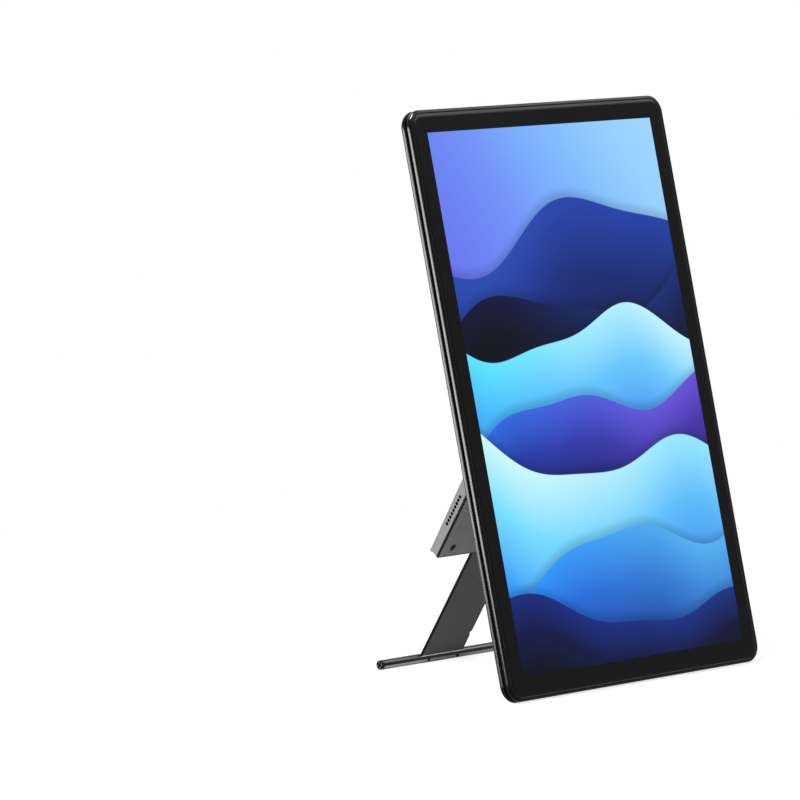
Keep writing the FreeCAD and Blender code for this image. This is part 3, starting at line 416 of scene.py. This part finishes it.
def make_case():
    """The two halves of the case: a glossy black bead, and a matt grey back with a black rim and grooves whose
    floors are painted black as shade.
    """
    bead = moulded("case_bead", BEAD, roughness=0.2, grain=5200.0, depth=0.002 * MM, ior=BEAD_IOR,
                   edge=BEAD_ROUND)
    dress(bead, "front_frame")
    cover = moulded("case_cover", rgb(62), roughness=0.3, grain=4200.0, depth=0.004 * MM, ior=1.2,
                    edge=BEAD_ROUND)
    u, v, out = cover.own(DISPLAY)
    edge = inside_panel(u, v)
    rim = edge.ease(*RIM)
    cover.paint(BEAD, rim)
    side = edge.ease(*RIM_SIDE)
    cover.set("IOR", rim * (ROLL_IOR - 1.0) + side * (BEAD_IOR - ROLL_IOR) + 1.0)
    around = (u * u + v * v).root()
    # painted shade: the floors of the arc grooves are painted near black
    groove = (around - ARC_RADIUS).size().ease(*ARC_HALF)
    cover.paint(rgb(5), groove.least(out.ease(*ARC_FLOOR_SHADE)))
    dress(cover, "back_cover")


LIGHT_TOP = -18.1 * MM
LIGHT_LOW = -78.4 * MM
LIGHT_STOPS = [
    (0.0, rgb(14, 80, 150)),
    (0.3, rgb(16, 130, 186)),
    (0.6, rgb(40, 196, 220)),
    (0.85, rgb(150, 240, 244)),
    (1.0, rgb(248, 255, 255)),
]
LIGHT_STRENGTH = 0.9
LIGHT_SPREAD = 0.05
LIGHT_PATCH = 300.0
LIGHT_GRAIN = 1500.0
LIGHT_GRAIN_DEPTH = 0.01 * MM


def make_light_bar():
    light = Finish("light_bar_glow", rgb(8, 30, 40), roughness=0.3, ior=1.2)
    up = light.along(MODULE_UP, HINGE)
    light.glow(up.ease(LIGHT_TOP, LIGHT_LOW, kind="LINEAR").ramp(LIGHT_STOPS), LIGHT_STRENGTH)
    light.vary(LIGHT_SPREAD, LIGHT_PATCH)
    light.raise_by(light.noise(LIGHT_GRAIN), LIGHT_GRAIN_DEPTH)
    dress(light, "light_bar")


HALF_MODULE = 48.8 * MM
MODULE_FRONT = 3.5 * MM
MODULE_LENGTH = 104.5 * MM
# painted shade: a black line along the front edges, and a dark one along the end
EDGE_SHADE_WIDTH = 1.3 * MM
EDGE_EASE = (0.10 * MM, 0.25 * MM)
END_SHADE_WIDTH = 0.7 * MM
END_EASE = (0.0, 0.2 * MM)
# the gap round the back plate, across the module, and the lines of painted shade that darken it
SEAM = (46.75 * MM, 47.4 * MM)
SEAM_INNER = (SEAM[0], SEAM[0] + 0.05 * MM)
SEAM_OUTER = (SEAM[1] + 0.2 * MM, SEAM[1] + 0.1 * MM)
SEAM_BELOW = (0.5 * MM, 0.0)
PLATE_SEAM_SHADE = (SEAM[0] - 0.9 * MM, SEAM[0] - 0.75 * MM)
# the rows of holes: middle down the module, half length and height, and the skin they go through
SPEAKER_DOWN = 74.17 * MM
SPEAKER_HALF = (10.5 * MM, 10.4 * MM)
SPEAKER_LEVEL = -0.6 * MM
SPEAKER_PITCH = 2.33 * MM
SPEAKER_HOLE_SHADE = (1.02 * MM, 0.94 * MM)
SPEAKER_SKIN = (HALF_MODULE - 3.0 * MM, HALF_MODULE - 2.8 * MM)
# the sloping back: its depth at the hinge, its rise along the module, and the shade along its edge
BACK_DEPTH = 6.26 * MM
BACK_SLOPE = 0.02644
BACK_SHADE = (1.1 * MM, 0.3 * MM)
BACK_SHADE_SHARE = 0.7
BACK_SHADE_SIDE = (SEAM[1], SEAM[1] + 0.3 * MM)


def make_housing():
    """The module's case: grey, with painted shade as a black line along its front edges, in the seam round the
    plate and in the speaker holes, and as a darker band along its back edge.
    """
    housing = moulded("housing_satin", rgb(98), roughness=0.42, grain=2600.0, depth=0.015 * MM, ior=1.25,
                      edge=0.1 * MM)
    x, y, z = housing.own(MODULE)
    wide = x.size()
    side = (wide - (HALF_MODULE - EDGE_SHADE_WIDTH)).ease(*EDGE_EASE)
    front = (z - (MODULE_FRONT - EDGE_SHADE_WIDTH)).ease(*EDGE_EASE)
    # painted shade along the front edges
    housing.paint(rgb(6), side.least(front))
    end = (y * -1.0 - (MODULE_LENGTH - END_SHADE_WIDTH)).ease(*END_EASE)
    # painted shade along the end's front edge
    housing.paint(rgb(20), end.least(front))
    seam = wide.ease(*SEAM_INNER).least(wide.ease(*SEAM_OUTER))
    # painted shade in the seam round the plate
    housing.paint(rgb(4), seam.least(z.ease(*SEAM_BELOW)))
    down = y + SPEAKER_DOWN
    in_row = down.size().ease(*SPEAKER_HALF)
    steps = down / SPEAKER_PITCH
    off = (steps - steps.math("ROUND")) * SPEAKER_PITCH
    rise = z - SPEAKER_LEVEL
    in_hole = (off * off + rise * rise).root().ease(*SPEAKER_HOLE_SHADE)
    # painted shade in the speaker holes, and in a thin ring round each on the outer face
    housing.paint(rgb(1), in_hole.least(in_row).least(wide.ease(*SPEAKER_SKIN)))
    from_back = z + y * BACK_SLOPE + BACK_DEPTH
    shade = from_back.ease(*BACK_SHADE, 0.0, BACK_SHADE_SHARE)
    housing.paint(rgb(58), shade.least(wide.ease(*BACK_SHADE_SIDE)))
    dress(housing, "module_housing")


def make_plate():
    """The sheet over the module's back, with painted shade as a black line along its long edges, at the seam.
    """
    plate = moulded("plate_satin", rgb(60), roughness=0.34, grain=3600.0, depth=0.006 * MM, ior=1.3)
    # painted shade along the plate's long edges, at the seam
    plate.paint(rgb(3), plate.along(RIGHT, HINGE).size().ease(*PLATE_SEAM_SHADE))
    dress(plate, "module_back_plate")


# from the hinge to the foot bar's middle, along the module and out of it
REACH = 181.384 * MM
LEG_OFFSET = 1.6 * MM
LEG_HALF = 17.6 * MM
LEG_LINE = (LEG_HALF - 0.95 * MM, LEG_HALF - 0.7 * MM)
NOTCH_LOW = (12.9 * MM - REACH, 13.0 * MM - REACH)
NOTCH_HIGH = (15.5 * MM - REACH, 15.4 * MM - REACH)
NOTCH_SIDE = (LEG_HALF - 1.3 * MM, LEG_HALF - 1.1 * MM)


def make_leg():
    """The sliding leg: dark grey, with black cut edges."""
    leg = moulded("leg_anodised", rgb(53), roughness=0.4, grain=5200.0, depth=0.006 * MM, ior=1.2)
    x, y, _ = leg.own(MODULE)
    leg.paint(rgb(3), x.size().ease(*LEG_LINE))
    notch = y.ease(*NOTCH_LOW).least(y.ease(*NOTCH_HIGH))
    leg.paint(rgb(8), notch.least(x.ease(*NOTCH_SIDE)))
    dress(leg, "leg_strip")


def make_hinge():
    knuckle = moulded("hinge_satin", rgb(54), roughness=0.28, grain=4200.0, depth=0.006 * MM, ior=1.3)
    dress(knuckle, "hinge_knuckle")
    # the hub is made black to stand in for the shade round the hinge's base
    hub = moulded("hub_black", rgb(4), roughness=0.5, grain=4200.0, depth=0.004 * MM, ior=1.06)
    dress(hub, "swivel_plate")


BAR_RADIUS = 2.75 * MM
BAR_DOWN = (-math.cos(LEAN), -math.sin(LEAN))
# painted reflection of the floor: the pale band round the bar, as shares of its radius below its middle
FLOOR_REFLECTION_TOP = (0.12, 0.22)
FLOOR_REFLECTION_LOW = (0.72, 0.6)
# painted highlight: the pale line on the slot's rim where the leg enters the bar
SLOT_HIGHLIGHT_SIDE = (LEG_HALF, LEG_HALF - 0.1 * MM)
SLOT_HIGHLIGHT_UP = (1.6 * MM, 1.8 * MM)
SLOT_HIGHLIGHT_OUT = (1.35 * MM, 1.2 * MM)
# painted shade: the black marks for the screws' slots across the bar
BAR_SCREW_X = 12.25 * MM
SCREW_SHADE_HALF = (1.3 * MM, 1.15 * MM)
SCREW_SHADE_TOP = (-0.3, -0.2)
# the caps' black rim, and their black cross painted as the shade of a cross recess
CAP_RIM = (0.72 * BAR_RADIUS, 0.8 * BAR_RADIUS)
CAP_CROSS_SHADE = (0.55 * MM, 0.45 * MM)


def bar_places(finish):
    """Places across the module, and up and out from the bar's middle line."""
    x, y, z = finish.own(MODULE)
    return x, y + REACH, z - LEG_OFFSET


def make_foot():
    """The foot: a glossy black bar with a pale band of painted floor reflection, a painted highlight at the
    leg's slot and black marks of painted shade at the screws, and end caps with a black rim and a black cross
    of painted shade.
    """
    bar = moulded("bar_gloss", rgb(10), roughness=0.16, grain=4200.0, depth=0.002 * MM, ior=1.25)
    x, up, out = bar_places(bar)
    low = (up * BAR_DOWN[0] + out * BAR_DOWN[1]) / BAR_RADIUS
    # painted reflection of the floor, as a pale band on the bar's lower front
    bar.paint(rgb(124), low.ease(*FLOOR_REFLECTION_TOP).least(low.ease(*FLOOR_REFLECTION_LOW)))
    # painted highlight on the rim of the leg's slot
    at_leg_highlight = x.size().ease(*SLOT_HIGHLIGHT_SIDE)
    bar.paint(rgb(190), at_leg_highlight.least(up.ease(*SLOT_HIGHLIGHT_UP)).least(out.ease(*SLOT_HIGHLIGHT_OUT)))
    # painted shade for the screws' slots, across the painted band
    screw_shade = (x.size() - BAR_SCREW_X).size().ease(*SCREW_SHADE_HALF)
    bar.paint(rgb(1), screw_shade.least(low.ease(*SCREW_SHADE_TOP)))
    dress(bar, "foot_bar")
    cap = moulded("cap_gloss", rgb(64), roughness=0.3, grain=4200.0, depth=0.004 * MM, ior=1.2, edge=0.1 * MM)
    _, up, out = bar_places(cap)
    cap.paint(rgb(3), (up * up + out * out).root().ease(*CAP_RIM))
    # painted shade of a cross recess on the caps
    cap.paint(rgb(2), up.size().least(out.size()).ease(*CAP_CROSS_SHADE))
    dress(cap, "foot_cap_left", "foot_cap_right")


def make_plain():
    """The pieces with one even finish."""
    rubber = moulded("foot_rubber", rgb(18), roughness=0.75, grain=1800.0, depth=0.05 * MM)
    dress(rubber, "foot_pad", "leg_friction_pad", "glass_tape")
    keys = moulded("key_satin", rgb(60), roughness=0.36, grain=3600.0, depth=0.008 * MM)
    dress(keys, "power_button", "menu_rocker")
    shell = moulded("port_nickel", rgb(232, 229, 225), roughness=0.28, metallic=1.0, grain=2400.0,
                    depth=0.006 * MM)
    dress(shell, "usb_a_shell", "usb_c_upper_shell", "usb_c_lower_shell")
    tongue = moulded("port_tongue", rgb(20), roughness=0.45, grain=3600.0)
    dress(tongue, "usb_a_tongue", "usb_c_upper_tongue", "usb_c_lower_tongue")
    steel = moulded("inside_steel", rgb(150, 152, 155), roughness=0.36, metallic=1.0, grain=1500.0)
    dress(steel, "panel_tray", "tray_screws", "swivel_retainer", "retainer_screws", "hinge_shaft")
    dress(steel, "rocker_pin", "module_screws", "bar_screws")
    bronze = moulded("inside_bronze", rgb(150, 112, 70), roughness=0.4, metallic=1.0, grain=1500.0)
    dress(bronze, "hinge_bushing_left", "hinge_bushing_right", "friction_washer")
    board = moulded("inside_board", rgb(18, 58, 38), roughness=0.4, grain=900.0, depth=0.03 * MM)
    dress(board, "driver_board", "main_board", "key_board", "led_board")
    film = moulded("inside_film", rgb(190, 190, 186), roughness=0.3, grain=1200.0)
    dress(film, "light_guide", "backlight_strip")
    dark = moulded("inside_dark", rgb(14), roughness=0.5, grain=1500.0)
    dress(dark, "lcd_cell", "light_sensor", "display_flex", "speaker_left", "speaker_right")


make_glass()
make_case()
make_light_bar()
make_housing()
make_plate()
make_leg()
make_hinge()
make_foot()
make_plain()


# small fittings that stand in for plain solids or lie on them
ROUND_STEPS = 40
SHARP_ANGLE = math.radians(32.0)


def add_piece(name, mesh_maker, body, finish):
    """A new piece, made in the module's own frame and kept in the part's."""
    work = bmesh.new()
    mesh_maker(work)
    bmesh.ops.transform(work, matrix=MODULE, verts=work.verts)
    bmesh.ops.recalc_face_normals(work, faces=work.faces)
    mesh = bpy.data.meshes.new(name)
    work.to_mesh(mesh)
    work.free()
    for polygon in mesh.polygons:
        polygon.use_smooth = True
    mesh.set_sharp_from_angle(angle=SHARP_ANGLE)
    mesh.materials.append(finish.made)
    piece = bpy.data.objects.new(name, mesh)
    bpy.context.scene.collection.objects.link(piece)
    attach(piece, body)
    return piece


def ring(work, centre, radius, level):
    made = []
    for step in range(ROUND_STEPS):
        angle = 2.0 * math.pi * step / ROUND_STEPS
        x = centre[0] + radius * math.cos(angle)
        y = centre[1] + radius * math.sin(angle)
        made.append(work.verts.new((x, y, level)))
    return made


def cross(work, centre, arm, width, level):
    """The twelve corners of a cross."""
    corners = []
    for turn in range(4):
        angle = turn * math.pi / 2.0
        for x, y in ((arm, -width), (arm, width), (width, width)):
            turned_x = centre[0] + x * math.cos(angle) - y * math.sin(angle)
            turned_y = centre[1] + x * math.sin(angle) + y * math.cos(angle)
            corners.append(work.verts.new((turned_x, turned_y, level)))
    return corners


def bridge(work, lower, upper):
    count = len(lower)
    for place in range(count):
        after = (place + 1) % count
        work.faces.new((lower[place], lower[after], upper[after], upper[place]))


def loop_edges(work, corners):
    edges = []
    for place in range(len(corners)):
        pair = (corners[place - 1], corners[place])
        edges.append(work.edges.get(pair) or work.edges.new(pair))
    return edges


# a screw's forms, as shares of its head's height, its head's radius and its shank's radius
HEAD_ROUNDING = 0.22
CROWN_SHARE = 0.3
RECESS_MOUTH = (0.62, 0.14)
RECESS_FLOOR = (0.40, 0.09)
RECESS_DEPTH = 0.55
POINT_LENGTH = 0.4
POINT_RADIUS = 0.6


def add_screw(work, centre, top, head, shank):
    """A screw along z with a rounded head and a tapered cross recess. head and shank are (radius, length)."""
    radius, height = head
    rounding = HEAD_ROUNDING * height
    seat = top - height
    low = seat - shank[1]
    outer = ring(work, centre, radius, top - rounding)
    crown = ring(work, centre, radius - CROWN_SHARE * rounding, top - CROWN_SHARE * rounding)
    flat = ring(work, centre, radius - rounding, top)
    under = ring(work, centre, radius, seat)
    neck = ring(work, centre, shank[0], seat)
    tip = ring(work, centre, shank[0], low + POINT_LENGTH * shank[0])
    point = ring(work, centre, POINT_RADIUS * shank[0], low)
    rings = (point, tip, neck, under, outer, crown, flat)
    for lower, upper in zip(rings, rings[1:]):
        bridge(work, lower, upper)
    work.faces.new(point)
    bottom = top - RECESS_DEPTH * height
    mouth = cross(work, centre, RECESS_MOUTH[0] * radius, RECESS_MOUTH[1] * radius, top)
    floor = cross(work, centre, RECESS_FLOOR[0] * radius, RECESS_FLOOR[1] * radius, bottom)
    bridge(work, floor, mouth)
    work.faces.new(floor)
    edges = loop_edges(work, flat) + loop_edges(work, mouth)
    bmesh.ops.triangle_fill(work, use_beauty=True, use_dissolve=False, edges=edges)


MODULE_SCREW_HEAD = (2.2 * MM, 1.1 * MM)
MODULE_SCREW_RADIUS = 1.0 * MM
MODULE_SCREW_TOP = 3.1 * MM
# places across and up the module, and shank lengths
MODULE_SCREWS = (
    (38.9 * MM, -98.2 * MM, 5.2 * MM),
    (26.08 * MM, -9.0 * MM, 7.5 * MM),
)
BAR_SCREW_HEAD = (1.2 * MM, 0.45 * MM)
BAR_SCREW_SHANK = (0.7 * MM, 3.2 * MM)
BAR_SCREW_TOP = 3.95 * MM
BAR_SCREW_Y = 0.825 * MM - REACH
SIDES = (-1.0, 1.0)


def module_screws(work):
    for x, y, length in MODULE_SCREWS:
        for side in SIDES:
            shank = (MODULE_SCREW_RADIUS, length)
            add_screw(work, (side * x, y), MODULE_SCREW_TOP, MODULE_SCREW_HEAD, shank)


def bar_screws(work):
    for side in SIDES:
        centre = (side * BAR_SCREW_X, BAR_SCREW_Y)
        add_screw(work, centre, BAR_SCREW_TOP, BAR_SCREW_HEAD, BAR_SCREW_SHANK)


def make_screws():
    black = moulded("screw_black", rgb(16), roughness=0.3, metallic=1.0, grain=2600.0, depth=0.006 * MM,
                    edge=0.08 * MM)
    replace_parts(add_piece("module_cross_screws", module_screws, "module", black), "module_screws")
    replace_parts(add_piece("bar_cross_screws", bar_screws, "leg", black), "bar_screws")


def own_box(node):
    """A node's box in the module's own frame."""
    back = MODULE.inverted()
    places = [back @ vert.co for vert in nodes[node].data.vertices]
    low = [min(place[axis] for place in places) for axis in range(3)]
    high = [max(place[axis] for place in places) for axis in range(3)]
    return low, high


def add_block(work, low, high, bevel):
    """A small block with chamfered edges."""
    made = bmesh.ops.create_cube(work, size=1.0)["verts"]
    size = [high[place] - low[place] for place in range(3)]
    middle = [(high[place] + low[place]) / 2.0 for place in range(3)]
    bmesh.ops.scale(work, vec=size, verts=made)
    bmesh.ops.translate(work, vec=middle, verts=made)
    edges = list(dict.fromkeys(edge for vert in made for edge in vert.link_edges))
    bmesh.ops.bevel(work, geom=edges, offset=bevel, segments=1, affect="EDGES")


# a socket's contacts: places along it, setbacks of their two ends from the tongue's end, half width, half
# thickness and chamfer. They lie half sunk in the tongue
USB_A_PLACES = [-3.5 * MM, -1.0 * MM, 1.0 * MM, 3.5 * MM]
USB_A_CONTACT = (8.0 * MM, 0.6 * MM, 0.5 * MM, 0.05 * MM, 0.03 * MM)
USB_C_PLACES = [step * 0.5 * MM for step in range(-5, 6)]
USB_C_CONTACT = (3.4 * MM, 0.4 * MM, 0.12 * MM, 0.025 * MM, 0.01 * MM)


def contact_maker(node, offsets, contact, both_faces):
    """The function that lays contacts on a tongue's front face, or on both its faces."""
    far, near, half, lift, bevel = contact

    def maker(work):
        low, high = own_box(node)
        levels = (low[2], high[2]) if both_faces else (high[2],)
        for offset in offsets:
            y = (low[1] + high[1]) / 2.0 + offset
            for level in levels:
                start = (high[0] - far, y - half, level - lift)
                end = (high[0] - near, y + half, level + lift)
                add_block(work, start, end, bevel)
    return maker


def make_contacts():
    gold = moulded("contact_gold", rgb(224, 184, 104), roughness=0.25, metallic=1.0, grain=2600.0,
                   depth=0.004 * MM, edge=0.03 * MM)
    maker = contact_maker("usb_a_tongue", USB_A_PLACES, USB_A_CONTACT, both_faces=False)
    add_piece("usb_a_contacts", maker, "module", gold)
    for name in ("usb_c_upper", "usb_c_lower"):
        maker = contact_maker(name + "_tongue", USB_C_PLACES, USB_C_CONTACT, both_faces=True)
        add_piece(name + "_contacts", maker, "module", gold)


make_screws()
make_contacts()


# floor, light and camera
WHITE = (1.0, 1.0, 1.0, 1.0)
FLOOR_GREY = (0.86, 0.86, 0.86, 1.0)
FLOOR_HALF = 40.0
# the floor turns to plain white between these distances, and near the object keeps some shadow
FLOOR_NEAR = 0.30
FLOOR_FAR = 0.75
FLOOR_LIFT = 0.80
WORLD_LIGHT = 0.42


def seen_directly(tree):
    """1 for what the camera sees, straight or in a reflection, and 0 for the light that falls on things."""
    path = tree.nodes.new("ShaderNodeLightPath")
    seen = Field(tree, path.outputs["Is Camera Ray"])
    for name in ("Is Glossy Ray", "Is Transmission Ray"):
        seen = seen.most(Field(tree, path.outputs[name]))
    return seen


def make_floor():
    mesh = bpy.data.meshes.new("floor")
    corners = [(-FLOOR_HALF, -FLOOR_HALF, 0.0), (FLOOR_HALF, -FLOOR_HALF, 0.0),
               (FLOOR_HALF, FLOOR_HALF, 0.0), (-FLOOR_HALF, FLOOR_HALF, 0.0)]
    mesh.from_pydata(corners, [], [(0, 1, 2, 3)])
    floor = bpy.data.objects.new("floor", mesh)
    bpy.context.scene.collection.objects.link(floor)
    pale = bpy.data.materials.new("floor_pale")
    pale.use_nodes = True
    tree = pale.node_tree
    tree.nodes.clear()
    place = tree.nodes.new("ShaderNodeTexCoord").outputs["Object"]
    length = tree.nodes.new("ShaderNodeVectorMath")
    length.operation = "LENGTH"
    feed(tree, length.inputs[0], place)
    away = Field(tree, length.outputs["Value"]).ease(FLOOR_NEAR, FLOOR_FAR, FLOOR_LIFT, 1.0)
    white = tree.nodes.new("ShaderNodeEmission")
    white.inputs["Color"].default_value = WHITE
    matt = tree.nodes.new("ShaderNodeBsdfDiffuse")
    matt.inputs["Color"].default_value = FLOOR_GREY
    blend = tree.nodes.new("ShaderNodeMixShader")
    feed(tree, blend.inputs[0], seen_directly(tree) * away)
    feed(tree, blend.inputs[1], matt.outputs[0])
    feed(tree, blend.inputs[2], white.outputs[0])
    out = tree.nodes.new("ShaderNodeOutputMaterial")
    feed(tree, out.inputs["Surface"], blend.outputs[0])
    mesh.materials.append(pale)


def make_world():
    world = bpy.data.worlds.new("studio")
    bpy.context.scene.world = world
    world.use_nodes = True
    tree = world.node_tree
    backdrop = tree.nodes["Background"]
    backdrop.inputs["Color"].default_value = WHITE
    feed(tree, backdrop.inputs["Strength"], seen_directly(tree) * (1.0 - WORLD_LIGHT) + WORLD_LIGHT)


MIDDLE = Vector((0.0, 0.0, 0.16))
# soft boxes: direction from the object's middle, distance, width, height and brightness
LAMPS = {
    "overhead_softbox": ((-0.1, 0.05, 1.0), 2.3, 0.7, 0.7, 16.0),
    "left_softbox": ((-0.80, -0.10, 0.60), 2.2, 1.7, 1.3, 16.0),
    "right_softbox": ((0.70, -0.40, 0.59), 2.4, 1.8, 1.1, 8.0),
    "front_fill": ((-0.35, -0.9, 0.35), 2.6, 1.2, 1.0, 0.7),
    "back_fill": ((0.30, 0.90, 0.35), 2.6, 1.6, 1.2, 4.5),
}
NOT_IN_GLOSS = "left_softbox"
ONLY_IN_GLOSS = "right_softbox"
# cards close to the object: place, direction that they are turned from, width, height, brightness, and the
# pieces that they show on
CARDS = {
    "rim_card": ((-0.52, 0.15, 0.185), (-0.927, 0.375, 0.0), 0.56, 0.36, 80.0, ("front_frame", "back_cover")),
    "corner_card": ((-0.25, -0.1, 1.2), (0.0, 0.0, 1.0), 0.5, 0.5, 220.0, ("front_frame",)),
}


def make_lamp(name, place, towards, width, height, brightness):
    """A rectangle of light at a place, turned from a direction to the object."""
    lamp = bpy.data.lights.new(name, "AREA")
    lamp.shape = "RECTANGLE"
    lamp.size = width
    lamp.size_y = height
    lamp.energy = math.pi * width * height * brightness
    holder = bpy.data.objects.new(name, lamp)
    bpy.context.scene.collection.objects.link(holder)
    holder.location = place
    holder.rotation_mode = "QUATERNION"
    holder.rotation_quaternion = towards.to_track_quat("Z", "Y")
    return holder


def make_lamps():
    for name, (towards, distance, width, height, brightness) in LAMPS.items():
        way = Vector(towards).normalized()
        holder = make_lamp(name, MIDDLE + way * distance, way, width, height, brightness)
        holder.visible_glossy = name != NOT_IN_GLOSS
        holder.visible_diffuse = name != ONLY_IN_GLOSS


def make_cards():
    """Bright cards that only show as a highlight, and only on some pieces."""
    for name, (place, towards, width, height, brightness, receivers) in CARDS.items():
        card = make_lamp(name, place, Vector(towards).normalized(), width, height, brightness)
        card.visible_diffuse = False
        card.visible_camera = False
        lit = bpy.data.collections.new(name + "_receivers")
        for receiver in receivers:
            lit.objects.link(nodes[receiver])
        card.light_linking.receiver_collection = lit


VIEW_AZIMUTH = math.radians(-47.553)
VIEW_ELEVATION = math.radians(5.603)
VIEW_ROLL = math.radians(-0.574)
VIEW_DISTANCE = 3316.09 * MM
VIEW_FOCAL = 5930.58
VIEW_ACROSS = -87.18 * MM
VIEW_CENTRE = Vector((0.0, -16.105, 154.616)) * MM
VIEW_FAR = 100.0
IMAGE_SIZE = 800.0
SENSOR_WIDTH = 36.0


def make_camera():
    right = Vector((math.cos(VIEW_AZIMUTH), math.sin(VIEW_AZIMUTH), 0.0))
    level = math.cos(VIEW_ELEVATION)
    back = Vector((math.sin(VIEW_AZIMUTH) * level, -math.cos(VIEW_AZIMUTH) * level, math.sin(VIEW_ELEVATION)))
    up = back.cross(right)
    turned_right = right * math.cos(VIEW_ROLL) + up * math.sin(VIEW_ROLL)
    turned_up = up * math.cos(VIEW_ROLL) - right * math.sin(VIEW_ROLL)
    matrix = Matrix((turned_right, turned_up, back)).transposed().to_4x4()
    matrix.translation = turned_right * VIEW_ACROSS + VIEW_CENTRE + back * VIEW_DISTANCE
    data = bpy.data.cameras.new("camera")
    data.sensor_width = SENSOR_WIDTH
    data.lens = VIEW_FOCAL * SENSOR_WIDTH / IMAGE_SIZE
    data.clip_end = VIEW_FAR
    camera = bpy.data.objects.new("camera", data)
    bpy.context.scene.collection.objects.link(camera)
    camera.matrix_world = matrix
    bpy.context.scene.camera = camera


make_floor()
make_world()
make_lamps()
make_cards()
make_camera()
bpy.context.scene.view_settings.view_transform = "Standard"
